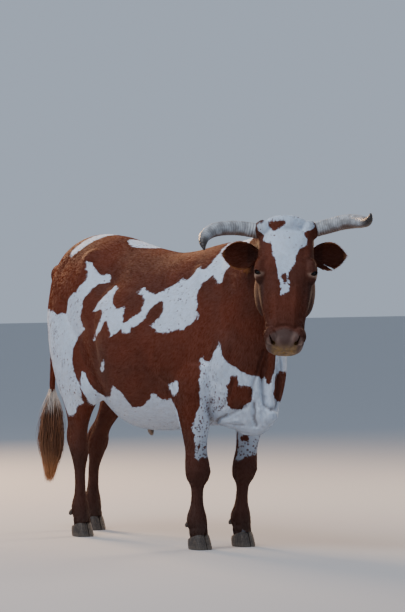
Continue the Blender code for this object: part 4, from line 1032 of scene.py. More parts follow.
# Colour, the side it is seen from, the box that it keeps to, how many dark ticks it has, and its outline
# in millimetres.
MARKINGS = {
    "thigh_band": ("white", "right", ((-0.8, -0.4, 0.4), (0, 0.02, 1.3)), 0.55, (
        (-315, 1180), (-280, 1170), (-255, 1150), (-215, 1120), (-155, 1122), (-140, 1088), (-182, 1086),
        (-216, 1075), (-228, 1050), (-248, 1035), (-260, 1008), (-258, 982), (-280, 930), (-225, 898),
        (-254, 879), (-302, 865), (-338, 832), (-350, 800), (-359, 746), (-354, 715), (-339, 678),
        (-307, 652), (-297, 620), (-313, 588), (-349, 567), (-373, 559), (-399, 526), (-448, 518),
        (-479, 549), (-489, 593), (-524, 614), (-620, 640), (-760, 720), (-760, 930), (-660, 955),
        (-576, 970), (-519, 961), (-472, 951), (-445, 957), (-416, 949), (-401, 974), (-394, 1006),
        (-376, 1027), (-340, 1039), (-315, 1055), (-305, 1076), (-284, 1092), (-274, 1103), (-282, 1129),
        (-304, 1150))),
    "rib_patch": ("white", "right", ((-0.3, -0.5, 0.8), (0.9, 0.04, 1.5)), 0.4, (
        (-78, 1077), (-114, 1037), (-149, 1005), (-180, 962), (-152, 968), (-116, 979), (-93, 964),
        (-95, 938), (-109, 912), (-130, 880), (-157, 842), (-127, 854), (-90, 886), (-64, 923), (-47, 934),
        (-19, 903), (-1, 862), (23, 878), (54, 889), (88, 885), (119, 880), (127, 906), (156, 917),
        (182, 948), (191, 979), (220, 1010), (245, 1021), (265, 1001), (270, 975), (259, 949), (229, 928),
        (213, 913), (236, 908), (272, 888), (300, 891), (327, 889), (363, 900), (387, 906), (403, 893),
        (412, 911), (433, 927), (474, 953), (445, 983), (454, 1004), (437, 1029), (432, 1064), (444, 1095),
        (492, 1126), (532, 1091), (552, 1101), (555, 1137), (576, 1157), (600, 1188), (660, 1240),
        (680, 1360), (560, 1360), (480, 1300), (462, 1243), (457, 1207), (448, 1182), (437, 1156),
        (419, 1146), (392, 1161), (381, 1145), (368, 1125), (346, 1099), (311, 1119), (311, 1099),
        (279, 1083), (235, 1057), (204, 1046), (167, 1051), (135, 1061), (118, 1076), (103, 1066),
        (81, 1055), (117, 1045), (133, 1040), (157, 1020), (154, 994), (152, 968), (120, 947), (95, 937),
        (78, 921), (57, 936), (58, 962), (62, 998), (36, 987), (14, 982), (-9, 986), (-34, 1007),
        (-52, 1038), (-41, 1067))),
    "fleck": ("white", "right", ((-0.3, -0.5, 0.6), (0.2, 0, 0.9)), 0, (
        (-60, 772), (-44, 759), (-60, 740), (-47, 725), (-90, 715), (-104, 728), (-79, 745))),
    "belly_right": ("white", "right", ((-0.4, -0.5, 0.42), (0.4, 0.3, 0.75)), 0.12, (
        (-310, 710), (-274, 701), (-254, 675), (-228, 644), (-211, 623), (-188, 600), (-82, 610),
        (-38, 641), (-2, 664), (15, 643), (41, 628), (48, 602), (60, 572), (91, 570), (126, 575),
        (165, 596), (205, 618), (215, 634), (237, 629), (250, 614), (275, 610), (310, 616), (348, 597),
        (366, 573), (362, 400), (-260, 400), (-262, 565), (-279, 611), (-293, 642))),
    "elbow": ("white", "right", ((0.2, -0.5, 0.55), (0.5, 0, 0.75)), 0.3, (
        (324, 679), (347, 685), (381, 696), (396, 687), (405, 661), (385, 640), (370, 631), (343, 638),
        (335, 654), (321, 658))),
    "chest": ("white", "front", ((0.3, -0.4, 0.3), (1, 0.1, 1)), 0.75, (
        (151, 804), (144, 781), (147, 741), (141, 700), (144, 669), (139, 638), (144, 597), (136, 576),
        (123, 550), (120, 529), (108, 508), (113, 488), (123, 477), (121, 446), (126, 421), (120, 379),
        (139, 367), (149, 384), (164, 377), (190, 383), (205, 430), (205, 480), (300, 470), (500, 470),
        (510, 600), (458, 612), (446, 626), (445, 668), (456, 701), (500, 706), (540, 740), (540, 930),
        (462, 930), (460, 795), (450, 752), (439, 719), (430, 693), (417, 683), (409, 703), (405, 728),
        (399, 708), (376, 719), (346, 724), (316, 732), (286, 754), (260, 769), (240, 789), (230, 814),
        (225, 844), (218, 859), (210, 834), (195, 803), (184, 777), (164, 771), (157, 786))),
    "far_foreleg": ("white", "front", ((0.3, 0.03, 0.3), (0.6, 0.25, 0.52)), 0.4, (
        (292, 520), (300, 460), (301, 409), (297, 379), (288, 356), (309, 359), (335, 375), (355, 375),
        (375, 384), (430, 415), (440, 520))),
    "pastern_spot": ("white", "front", ((0.3, 0.03, 0), (0.6, 0.25, 0.1)), 0, (
        (306, 50), (318, 74), (336, 64), (334, 44))),
    "croup_top": ("white", "top", ((-0.6, -0.2, 1), (-0.3, 0.3, 1.4)), 0.3, (
        (-500, -150), (-470, -110), (-445, -50), (-430, 20), (-460, 100), (-420, 160), (-370, 120),
        (-360, 40), (-375, -50), (-400, -120), (-450, -165))),
    "back_top": ("white", "top", ((-0.3, -0.1, 1), (0, 0.3, 1.4)), 0.3, (
        (-240, -30), (-225, 40), (-150, 120), (-60, 90), (-50, 0), (-75, -35), (-110, -55), (-150, -60),
        (-200, -50))),
    "left_ribs": ("white", "left", ((-0.4, 0, 0.6), (0.5, 0.5, 1.2)), 0.4, (
        (-100, 1050), (-50, 1060), (20, 1100), (100, 1060), (220, 1120), (300, 1050), (360, 1020),
        (420, 920), (400, 800), (340, 860), (280, 840), (200, 760), (140, 800), (60, 800), (-20, 740),
        (-60, 800), (-100, 820), (-220, 800), (-300, 900), (-240, 980), (-160, 960))),
    "left_thigh": ("white", "left", ((-0.8, 0, 0.5), (-0.2, 0.4, 1.05)), 0.55, (
        (-760, 940), (-620, 980), (-560, 920), (-500, 960), (-440, 860), (-400, 740), (-460, 660),
        (-540, 640), (-600, 560), (-700, 600), (-760, 700))),
    "belly_left": ("white", "left", ((-0.4, -0.3, 0.42), (0.4, 0.5, 0.75)), 0.12, (
        (-300, 660), (-200, 620), (-100, 680), (0, 600), (100, 640), (200, 580), (300, 640), (360, 600),
        (360, 400), (-260, 400))),
    "left_neck": ("white", "left", ((0.3, 0, 1), (0.8, 0.4, 1.4)), 0.4, (
        (420, 1360), (640, 1360), (670, 1220), (640, 1120), (580, 1080), (550, 1160), (460, 1140),
        (440, 1240))),
    "left_chest": ("white", "left", ((0.4, -0.005, 0.45), (1, 0.4, 0.95)), 0.6, (
        (440, 740), (500, 840), (560, 790), (620, 870), (665, 825), (710, 900), (750, 960), (790, 925),
        (920, 880), (920, 450), (470, 450), (430, 520), (420, 640))),
    "blaze": ("white", "head", ALL_ROUND, 0.35, (
        (369, 1328), (398, 1345), (415, 1400), (565, 1400), (590, 1345), (603, 1320), (588, 1310),
        (558, 1302), (556, 1290), (572, 1275), (567, 1250), (542, 1236), (527, 1211), (521, 1186),
        (506, 1161), (496, 1132), (501, 1107), (499, 1068), (471, 1061), (461, 1049), (463, 1082),
        (461, 1102), (456, 1122), (452, 1152), (442, 1191), (434, 1211), (434, 1236), (426, 1260),
        (398, 1265), (398, 1290), (378, 1308))),
    "poll_island": ("red", "head", ALL_ROUND, 0, (
        (415, 1335), (433, 1347), (458, 1350), (485, 1345), (485, 1330), (465, 1320), (448, 1305),
        (431, 1312), (418, 1322))),
    "bridge_spot": ("red", "head", ALL_ROUND, 0, (
        (469, 1140), (481, 1145), (491, 1132), (489, 1107), (481, 1097), (471, 1104), (466, 1122))),
    "chest_island": ("red", "front", ((0.3, -0.4, 0.5), (1, 0, 0.8)), 0, (
        (275, 727), (294, 718), (298, 698), (296, 683), (321, 681), (344, 678), (358, 668), (356, 642),
        (354, 612), (331, 603), (316, 585), (294, 579), (271, 584), (254, 599), (251, 630), (255, 661),
        (250, 676), (265, 692), (263, 713))),
    "knee_spot": ("red", "front", ((0.3, -0.4, 0.35), (0.6, 0, 0.5)), 0, (
        (132, 412), (140, 408), (147, 418), (143, 430), (134, 428))),
    "knee_spot_inner": ("red", "front", ((0.3, -0.4, 0.35), (0.6, 0, 0.5)), 0, (
        (158, 410), (166, 408), (171, 416), (167, 426), (160, 425))),
    "far_leg_spot": ("red", "front", ((0.3, 0.03, 0.3), (0.6, 0.25, 0.5)), 0, (
        (309, 463), (307, 440), (325, 434), (345, 442), (348, 461), (330, 466))),
    "dewlap_stripe": ("red", "front", ((0.5, -0.2, 0.5), (1, 0.12, 0.8)), 0, (
        (457, 728), (467, 736), (560, 730), (560, 600), (470, 612), (452, 622), (442, 643), (447, 704))),
    "left_rib_island": ("red", "left", ((-0.4, 0, 0.6), (0.5, 0.5, 1.2)), 0, (
        (50, 980), (150, 1000), (200, 930), (100, 880), (30, 920))),
}
TURN_LIMIT = -0.25


def inside_by(points, outline):
    """How far each flat point lies inside this closed outline, less than nothing outside it."""
    best = np.full(len(points), np.inf)
    inside = np.zeros(len(points), bool)
    for start, end in zip(outline, np.roll(outline, -1, axis=0)):
        along = end - start
        t = np.clip(((points - start) @ along) / (along @ along), 0, 1)
        best = np.minimum(best, ((points - start - t[:, None] * along) ** 2).sum(axis=1))
        crosses = (start[1] > points[:, 1]) != (end[1] > points[:, 1])
        rise = along[1] if abs(along[1]) > 1e-9 else 1e-9
        inside ^= crosses & (points[:, 0] < start[0] + (points[:, 1] - start[1]) * along[0] / rise)
    return np.where(inside, 1.0, -1.0) * np.sqrt(best)


def rounded(outline):
    """A closed outline with its corners cut off, and then the corners that this leaves."""
    for _ in range(2):
        after = np.roll(outline, -1, axis=0)
        cut = [outline * 0.75 + after * 0.25, outline * 0.25 + after * 0.75]
        outline = np.stack(cut, axis=1).reshape(-1, 2)
    return outline


def edge_wobble(place):
    """How far the edge of a marking on the unseen left side wanders here."""
    if place[1] <= 0:
        return 0.0
    return 0.030 * lumps(Vector(place) * 9) + 0.012 * lumps(Vector(place) * 34)


def marked(points, out, on_head):
    """How far inside the white each place lies, less than nothing in the red, and how many ticks it has."""
    white = np.full(len(points), -0.2)
    ticks = np.zeros(len(points))
    wobble = np.array([edge_wobble(place) for place in points])
    for colour, view, (low, high), density, outline in MARKINGS.values():
        across, up, towards = (np.array(v, float) for v in VIEWS["front" if view == "head" else view])
        flat = np.stack([points @ across, points @ up], axis=1)
        corners = np.array(outline) / 1000
        if view in ("left", "top"):
            corners = rounded(corners)
        turned = (out @ towards - TURN_LIMIT) * 0.12
        far = np.minimum(inside_by(flat, corners) + wobble * (view == "left"), turned)
        kept = ((points > np.array(low)) & (points < np.array(high))).all(axis=1)
        kept &= on_head if view == "head" else ~on_head
        far = np.where(kept, far, -0.2)
        if colour == "white":
            ticks = np.where(far > np.maximum(white, -0.01), density, ticks)
            white = np.maximum(white, far)
        else:
            white = np.minimum(white, -far)
    return white, ticks


def rising(values, low, high):
    """0 below low, 1 above high, and a smooth step between them."""
    t = np.clip((values - low) / (high - low), 0, 1)
    return t * t * (3 - 2 * t)


def in_frame(matrix, points):
    """These places in the axes that this matrix carries into place."""
    inverse = np.array(matrix.inverted())
    return points @ inverse[:3, :3].T + inverse[:3, 3]


# Pale lines of the muzzle on the left side: a painted highlight along the ridge of the pad, from the nostril
# down to the middle, and the nostril's pale wing, below and outside it. Each has its places, its width and
# how pale it is.
PAD_HIGHLIGHT = ((0.496, 0.034, -0.02), (0.516, 0.028, -0.042), (0.528, 0.015, -0.056), (0.531, 0, -0.06))
NOSTRIL_WING = ((0.508, 0.066, -0.034), (0.53, 0.06, -0.052), (0.545, 0.046, -0.066), (0.543, 0.034, -0.064))
RIMS_AND_PAD_HIGHLIGHT = ((NOSTRIL_WING, 0.0075, 0.8), (PAD_HIGHLIGHT, 0.0085, 0.7))


def ear_values(points, out):
    """Where the ears are, the insides of their cups, and their edges, where the hair is painted orange as if
    lit from behind.
    """
    ears, cups, ear_edge_glow = (np.zeros(len(points)) for _ in range(3))
    reach, above, below = np.array([row[:3] for row in EAR]).T
    for way in (-1, 1):
        carry = ear_frame(way)
        x, y, z = in_frame(carry, points).T
        opening = np.array(carry.to_3x3() @ Vector((0, 0, 1)))
        here = rising(x, 0.004, 0.030) * (np.abs(y) < 0.075) * (np.abs(z + 0.01) < 0.06) * (x < 0.19)
        ears = np.maximum(ears, here)
        cups = np.maximum(cups, here * rising(out @ opening, -0.1, 0.35))
        edge = np.where(y > 0, y / np.interp(x, reach, above), y / np.interp(x, reach, below))
        near = np.maximum(rising(edge, 0.90, 0.99), rising(x, 0.152, 0.161))
        ear_edge_glow = np.maximum(ear_edge_glow, here * near * rising(x, 0.05, 0.08))
    return ears, cups, ear_edge_glow


def eye_and_nose_values(points, u):
    """The pale rims of the nostrils with a painted highlight along the pad between them, the dark lids, and a
    painted highlight on the lower lids below the eyes.
    """
    rim, lids, pale = (np.zeros(len(points)) for _ in range(3))
    for way in (-1, 1):
        for line, width, share in RIMS_AND_PAD_HIGHLIGHT:
            places = np.array([tuple(head_frame() @ mirrored(place, way)) for place in line])
            rim = np.maximum(rim, share * np.exp(-((line_distance(points, places) / width) ** 2)))
        far = np.linalg.norm(points - np.array(eye_middle(way)), axis=1)
        below = u - (head_frame().inverted() @ eye_middle(way)).x
        lids = np.maximum(lids, rising(-far, -0.0275, -0.0235))
        pale = np.maximum(pale, rising(-far, -0.034, -0.026) * rising(below, 0.002, 0.010))
    return rim, lids, pale


def skin_values(points, out):
    """What the materials read at each place on the skin: markings, darker parts with painted shade among
    them, painted highlights and lit edges, and bare parts.
    """
    u, v, w = in_frame(head_frame(), points).T
    side = np.abs(v)
    ears, cups, ear_edge_glow = ear_values(points, out)
    behind = (points - np.array(POLL)) @ np.array((0.80, 0.0, 0.10))
    on_head = (u > -0.08) & (u < 0.60) & (side < 0.15) & (w > -0.252 - 0.02 * (u < 0.1)) & (behind > -0.22)
    white, ticks = marked(points, out, on_head & (ears < 0.5))
    white = np.where(ears > 0.5, -0.2, white)
    head = on_head.astype(float)
    x, y, z = points.T
    middling = np.abs(y) < 0.072 + 0.040 * rising(x, 0.43, 0.49)
    front = rising(x, 0.57, 0.65) * rising(-z, -0.86, -0.80)
    bag = np.maximum(front, middling * (x > 0.36) * rising(-z, -0.62, -0.58))
    ticks *= 1 - (1 - head) * bag
    ticks += 0.85 * (ticks > 0.2) * rising(x, 0.30, 0.36) * rising(-z, -0.66, -0.58)
    # Darker towards the bottom of the legs and at the muzzle; the darker sides of the face, the bands beside
    # the nose and the insides of the ear cups are painted shade.
    shade_and_dark = 0.74 * rising(-z, -0.56, -0.28) + 0.22 * rising(-z, -0.16, -0.07)
    shade_and_dark += head * (0.35 * rising(u, 0.36, 0.47) + 0.34 * rising(side, 0.07, 0.11) * rising(-u, -0.30, -0.16))
    shade_and_dark += head * 0.55 * rising(side, 0.082, 0.096) * rising(u, 0.24, 0.28) * rising(-u, -0.46, -0.40)
    shade_and_dark += head * 0.30 * np.exp(-((side - 0.078) / 0.024) ** 2) * rising(u, 0.20, 0.30)
    shade_and_dark += (0.12 * cups + 0.08 * ears) * (1 - ear_edge_glow)
    pad = rising(u - (0.468 + 9.0 * v ** 2), -0.012, 0.012)
    bare = head * pad * rising(w, -0.168, -0.150) * rising(0.088 - side, 0.0, 0.01)
    lip = head * rising(-w, 0.036, 0.064) * rising(u, 0.474, 0.500) * rising(0.058 - side, 0.0, 0.020)
    # rim holds the nostrils' pale rims and a painted highlight along the pad; pale holds a painted highlight
    # on the lower lids.
    rim, lids, pale = eye_and_nose_values(points, u)
    return {
        "white": np.clip(white, -0.1, 0.1), "ticks": ticks, "shade_and_dark": np.clip(shade_and_dark, 0, 1), "bare": bare,
        "lip": lip, "rim": rim * head, "lids": lids * head, "pale": pale * head, "cup": cups, "ear": ears,
        "head": head, "ear_edge_glow": ear_edge_glow,
    }


def keep_values(mesh, values):
    """Keeps these numbers, or rows of three, at the mesh's points."""
    for name, numbers in values.items():
        kind, word = ("FLOAT_VECTOR", "vector") if numbers.ndim == 2 else ("FLOAT", "value")
        attribute = mesh.attributes.new(name, kind, "POINT")
        attribute.data.foreach_set(word, numbers.astype(np.float32).ravel())


# The coat is this deep over the flesh, so the hide lies this far inside the solids.
COAT_DEPTH = 0.0020
REGION_LIMIT = 46000


def nodes_named(*beginnings):
    """The solids whose names begin so."""
    return [name for name in frame["nodes"] if name.startswith(beginnings)]


def finished(piece, slot, *nodes):
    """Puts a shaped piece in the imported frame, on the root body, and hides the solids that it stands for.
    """
    piece.data.transform(Matrix.Translation(SHIFT))
    piece.data.update()
    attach(piece, ROOT)
    if nodes:
        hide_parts(*nodes)
    return piece


def dressed(piece, material, angle=None):
    piece.data.materials.clear()
    piece.data.materials.append(material)
    select_only(piece)
    if angle is None:
        bpy.ops.object.shade_smooth()
    else:
        bpy.ops.object.shade_smooth_by_angle(angle=angle)
    return piece


def fold_values(hide):
    """How near each place of the skin is to the bottom of a fold of the brisket, where shade is painted."""
    points = points_of(hide)
    found = np.zeros(len(points))
    for width, push, line in laid_on(hide, both_sides(BRISKET_FOLDS)):
        far = line_distance(points, np.array([tuple(place) for place in line]))
        deep = min(1.0, max(0.0, -push / 0.009))
        found = np.maximum(found, deep * np.exp(-((far / (0.6 * width)) ** 2)))
    return found


def hide_form():
    """The whole skin without its coat, with what the materials read kept at each point."""
    hide = bridged("hide", body_form(), head_form())
    trim_below_coronets(hide)
    points, out = points_of(hide), points_of(hide, "normal")
    values = skin_values(points, out)
    # Painted shade at the bottom of the brisket's folds.
    values["fold_shade"] = fold_values(hide)
    free = np.maximum.reduce([values["bare"], values["lids"], values["lip"], 0.75 * values["ear"]])
    depth = COAT_DEPTH * (1 - 0.45 * values["head"]) * (1 - free)
    keep_values(hide.data, values)
    return move_points(hide, points - out * depth[:, None])


# The lie of the hair: places on the body's right side and which way the hair runs there.
LIE = (
    ((0.7, -0.06, 1.23), (-0.8, 0, -0.35)), ((0.62, -0.13, 1.05), (-0.7, 0, -0.7)),
    ((0.56, -0.08, 1.2), (-0.85, 0, -0.3)), ((0.7, -0.06, 0.9), (-0.35, 0, -0.95)),
    ((0.58, -0.1, 0.7), (-0.2, 0, -1)), ((0.56, -0.08, 0.56), (-0.6, 0, -0.7)),
    ((0.45, -0.18, 1.05), (-0.8, 0, -0.6)), ((0.43, -0.2, 0.85), (-0.55, 0, -0.85)),
    ((0.4, -0.16, 0.7), (-0.15, 0, -1)), ((0.35, -0.05, 1.27), (-1, 0, -0.15)),
    ((0.1, -0.05, 1.23), (-1, 0, -0.1)), ((0.2, -0.23, 1.05), (-0.95, 0, -0.35)),
    ((0.1, -0.28, 0.85), (-0.9, 0, -0.45)), ((-0.05, -0.27, 0.75), (-0.95, 0, -0.15)),
    ((-0.15, -0.25, 1), (-1, 0, -0.3)), ((-0.19, -0.22, 0.8), (-0.6, 0, 0.8)),
    ((-0.25, -0.2, 0.68), (-0.4, 0, 0.6)), ((-0.05, -0.1, 0.52), (-1, 0, 0)),
    ((0.2, -0.1, 0.52), (-1, 0, 0)), ((-0.35, -0.1, 1.26), (-1, 0, -0.2)),
    ((-0.42, -0.2, 1), (-0.6, 0, -0.8)), ((-0.4, -0.21, 0.8), (-0.35, 0, -0.95)),
    ((-0.58, -0.1, 1.18), (-0.8, 0, -0.6)), ((-0.62, -0.12, 0.95), (-0.2, 0, -1)),
    ((-0.56, -0.12, 0.7), (0.1, 0, -1)), ((0.4, -0.13, 0.45), (0, 0, -1)), ((0.4, -0.13, 0.15), (0, 0, -1)),
    ((-0.43, -0.14, 0.5), (-0.1, 0, -1)), ((-0.43, -0.14, 0.15), (0, 0, -1)),
    ((-0.68, -0.1, 0.5), (-0.05, 0, -1)), ((-0.68, -0.1, 0.15), (0, 0, -1)),
    ((-0.77, -0.03, 1), (0, 0, -1)), ((-0.77, -0.05, 0.65), (0, 0, -1)),
)
# The same on the face, in the head's own frame: from a whorl between the eyes.
FACE_LIE = (
    ((0.46, 0, -0.02), (1, 0, 0)), ((0.3, 0.04, 0), (1, 0.1, 0)), ((0.2, 0.03, 0.01), (1, 0.3, 0)),
    ((0.12, 0.03, 0.01), (-0.9, 0.5, 0)), ((0.04, 0.02, 0), (-1, 0.2, 0)),
    ((0.15, 0.09, -0.02), (0, 1, -0.3)), ((0.222, 0.11, -0.09), (-0.3, 0.3, -0.9)),
    ((0.32, 0.09, -0.08), (-0.5, 0.1, -0.8)), ((0.42, 0.08, -0.08), (0.3, 0.1, -0.9)),
    ((0.3, 0.08, -0.18), (-0.9, 0, -0.4)), ((0.15, 0.1, -0.18), (-0.9, 0, -0.5)),
    ((0.06, 0.08, -0.14), (-0.9, 0.2, -0.4)), ((0.48, 0.04, -0.15), (-0.9, 0, -0.2)),
)


def lie_of_hair(points, out, values):
    """Which way the hair runs at each place, along the skin."""
    def led_by(rows, carry=None):
        places, ways = [], []
        for place, way in rows:
            for side in (1, -1):
                p, d = mirrored(place, side), mirrored(way, side)
                if carry is not None:
                    p, d = carry @ p, carry.to_3x3() @ d
                places.append(tuple(p))
                ways.append(tuple(d.normalized()))
        places, ways = np.array(places), np.array(ways)
        total = np.zeros_like(points)
        for place, way in zip(places, ways):
            far = np.linalg.norm(points - place, axis=1) + 0.01
            total += way / (far ** 3)[:, None]
        return total / (np.linalg.norm(total, axis=1)[:, None] + 1e-9)
    lie = led_by(LIE)
    lie = np.where(values["head"][:, None] > 0.5, led_by(FACE_LIE, head_frame()), lie)
    for side in (-1, 1):
        carry = ear_frame(side)
        x, y, z = in_frame(carry, points).T
        near = (values["ear"] > 0.3) & (x > -0.02) & (x < 0.19) & (np.abs(y) < 0.08) & (np.abs(z) < 0.07)
        way = np.array(carry.to_3x3() @ Vector((1, 0, 0)))
        spread = np.array(carry.to_3x3() @ Vector((0, 1, 0)))
        lie = np.where(near[:, None], way + spread * (y * 7)[:, None], lie)
    lie = lie - out * (lie * out).sum(axis=1)[:, None]
    return lie / (np.linalg.norm(lie, axis=1)[:, None] + 1e-9)


def triangles_of(piece):
    piece.data.calc_loop_triangles()
    flat = np.empty(len(piece.data.loop_triangles) * 3, int)
    piece.data.loop_triangles.foreach_get("vertices", flat)
    return flat.reshape(-1, 3)


def values_of(piece, name):
    numbers = np.empty(len(piece.data.vertices))
    piece.data.attributes[name].data.foreach_get("value", numbers)
    return numbers


def unwrapped(hide):
    """A plain copy of the hide with an unwrap, as a search tree, its corners and their places there."""
    plain = linked("plain", hide.data.copy())
    thinned(plain, 9000)
    select_only(plain)
    bpy.ops.object.mode_set(mode="EDIT")
    bpy.ops.mesh.select_all(action="SELECT")
    bpy.ops.uv.smart_project(angle_limit=math.radians(66), island_margin=0.004)
    bpy.ops.object.mode_set(mode="OBJECT")
    triangles = triangles_of(plain)
    loops = np.empty(len(plain.data.loop_triangles) * 3, int)
    plain.data.loop_triangles.foreach_get("loops", loops)
    flat = np.empty(len(plain.data.loops) * 2)
    plain.data.uv_layers.active.uv.foreach_get("vector", flat)
    places = flat.reshape(-1, 2)[loops.reshape(-1, 3)]
    points = points_of(plain)
    tree = BVHTree.FromPolygons([tuple(p) for p in points], [tuple(int(i) for i in t) for t in triangles])
    bpy.data.objects.remove(plain)
    return tree, points[triangles], places


def unwrap_places(roots, unwrap):
    """Where each root lies on the hide's unwrap."""
    tree, corners, places = unwrap
    near = [tree.find_nearest(Vector(p)) for p in roots]
    faces = np.array([found[2] for found in near])
    on = np.array([tuple(found[0]) for found in near])
    a, b, c = corners[faces, 0], corners[faces, 1], corners[faces, 2]
    v0, v1, v2 = b - a, c - a, on - a
    d00, d01, d11 = (v0 * v0).sum(1), (v0 * v1).sum(1), (v1 * v1).sum(1)
    d20, d21 = (v2 * v0).sum(1), (v2 * v1).sum(1)
    below = np.maximum(d00 * d11 - d01 * d01, 1e-18)
    v = (d11 * d20 - d01 * d21) / below
    w = (d00 * d21 - d01 * d20) / below
    weights = np.clip(np.stack([1 - v - w, v, w], axis=1), 0, 1)
    weights /= weights.sum(axis=1)[:, None]
    return (places[faces] * weights[:, :, None]).sum(axis=1)


# The short coat: hairs to a square metre, and a tuft's length, width and lift, by what it grows on.
SHORT = {
    "trunk": (50000, 0.0120, 0.0011, 0.13),
    "legs": (56000, 0.0090, 0.0009, 0.13),
    "head": (140000, 0.0066, 0.0007, 0.14),
    "ears": (140000, 0.0085, 0.0007, 0.30),
}
PATCH = 0.0015


def spread_roots(hide, draw):
    """Seeded places all over the hide, as face and weights, thicker where the hair is finer."""
    points = points_of(hide)
    triangles = triangles_of(hide)
    a, b, c = points[triangles[:, 0]], points[triangles[:, 1]], points[triangles[:, 2]]
    area = np.linalg.norm(np.cross(b - a, c - a), axis=1) / 2
    middle = (a + b + c) / 3
    head = values_of(hide, "head")[triangles].mean(axis=1)
    ears = values_of(hide, "ear")[triangles].mean(axis=1)
    low = middle[:, 2] < 0.50
    thick = np.where(low, SHORT["legs"][0], SHORT["trunk"][0]).astype(float)
    thick = np.where(head > 0.5, SHORT["head"][0], thick)
    thick = np.where(ears > 0.4, SHORT["ears"][0], thick)
    free = np.maximum.reduce([values_of(hide, name)[triangles].mean(axis=1) for name in ("bare", "lids")])
    thick *= np.clip(1 - free * 1.4, 0, 1)
    expected = thick * area
    count = int(expected.sum())
    faces = draw.choice(len(triangles), count, p=expected / expected.sum())
    one, two = np.sqrt(draw.random(count)), draw.random(count)
    weights = np.stack([1 - one, one * (1 - two), one * two], axis=1)
    return triangles[faces], weights


def at_roots(numbers, corners, weights):
    picked = numbers[corners]
    if picked.ndim == 3:
        return (picked * weights[:, :, None]).sum(axis=1)
    return (picked * weights).sum(axis=1)


def tuft_mesh(name, rows, values, places, normals=None):
    """Many tufts as one mesh: rows are the rings of points, root first, the last one a single point."""
    count = len(rows[0])
    rings = [row if row.ndim == 3 else row[:, None, :] for row in rows]
    sizes = [ring.shape[1] for ring in rings]
    points = np.concatenate(rings, axis=1)
    per = points.shape[1]
    around = sizes[0]
    faces = [(0, 2, 1)]
    start = 0
    for i in range(len(rings) - 1):
        for k in range(around):
            j = (k + 1) % around
            if sizes[i + 1] == 1:
                faces.append((start + k, start + j, start + around))
            else:
                faces += [(start + k, start + j, start + around + j),
                          (start + k, start + around + j, start + around + k)]
        start += sizes[i]
    faces = np.array(faces)
    every = (faces[None] + (np.arange(count) * per)[:, None, None]).reshape(-1, 3)
    mesh = bpy.data.meshes.new(name)
    mesh.vertices.add(count * per)
    mesh.vertices.foreach_set("co", points.astype(np.float32).ravel())
    mesh.loops.add(len(every) * 3)
    mesh.loops.foreach_set("vertex_index", every.astype(np.int32).ravel())
    mesh.polygons.add(len(every))
    mesh.polygons.foreach_set("loop_start", np.arange(0, len(every) * 3, 3, dtype=np.int32))
    mesh.update(calc_edges=True)
    steps = np.concatenate([np.full(size, i / (len(rings) - 1)) for i, size in enumerate(sizes)])
    spread = np.zeros((per, 2))
    spread[:, 0] = np.linspace(-PATCH, PATCH, per)
    spread[:, 1] = (steps - 0.5) * 2 * PATCH
    uv = mesh.uv_layers.new(name="OFBake")
    found = (places[:, None, :] + spread[None]).reshape(-1, 2)[every.ravel()]
    uv.uv.foreach_set("vector", found.astype(np.float32).ravel())
    kept = {key: np.repeat(numbers, per, axis=0) for key, numbers in values.items()}
    kept["along"] = np.tile(steps, count)
    keep_values(mesh, kept)
    mesh.polygons.foreach_set("use_smooth", np.ones(len(every), bool))
    if normals is not None:
        mesh.normals_split_custom_set_from_vertices(normals.reshape(-1, 3).tolist())
    return linked(name, mesh)


def longer_hair(body, normal, values):
    """How much longer the hair is here than usual: on the poll, ears, belly, fetlocks and tail."""
    u = in_frame(head_frame(), body)[:, 0]
    poll = values["head"] * rising(-u, -0.08, -0.01)
    belly = (body[:, 2] < 0.62) * (body[:, 2] > 0.46) * rising(-normal[:, 2], 0.3, 0.9)
    fetlock = (body[:, 2] < 0.14) * rising(-normal[:, 0], 0.2, 0.8) + 0.4 * (body[:, 2] < 0.075)
    tail = (body[:, 0] < -0.70) * (body[:, 2] < 1.12) * (np.abs(body[:, 1] + 0.03) < 0.05)
    return 1 + 0.9 * poll + 0.5 * belly + 1.1 * fetlock + 0.8 * tail + 0.5 * (values["ear"] > 0.5)


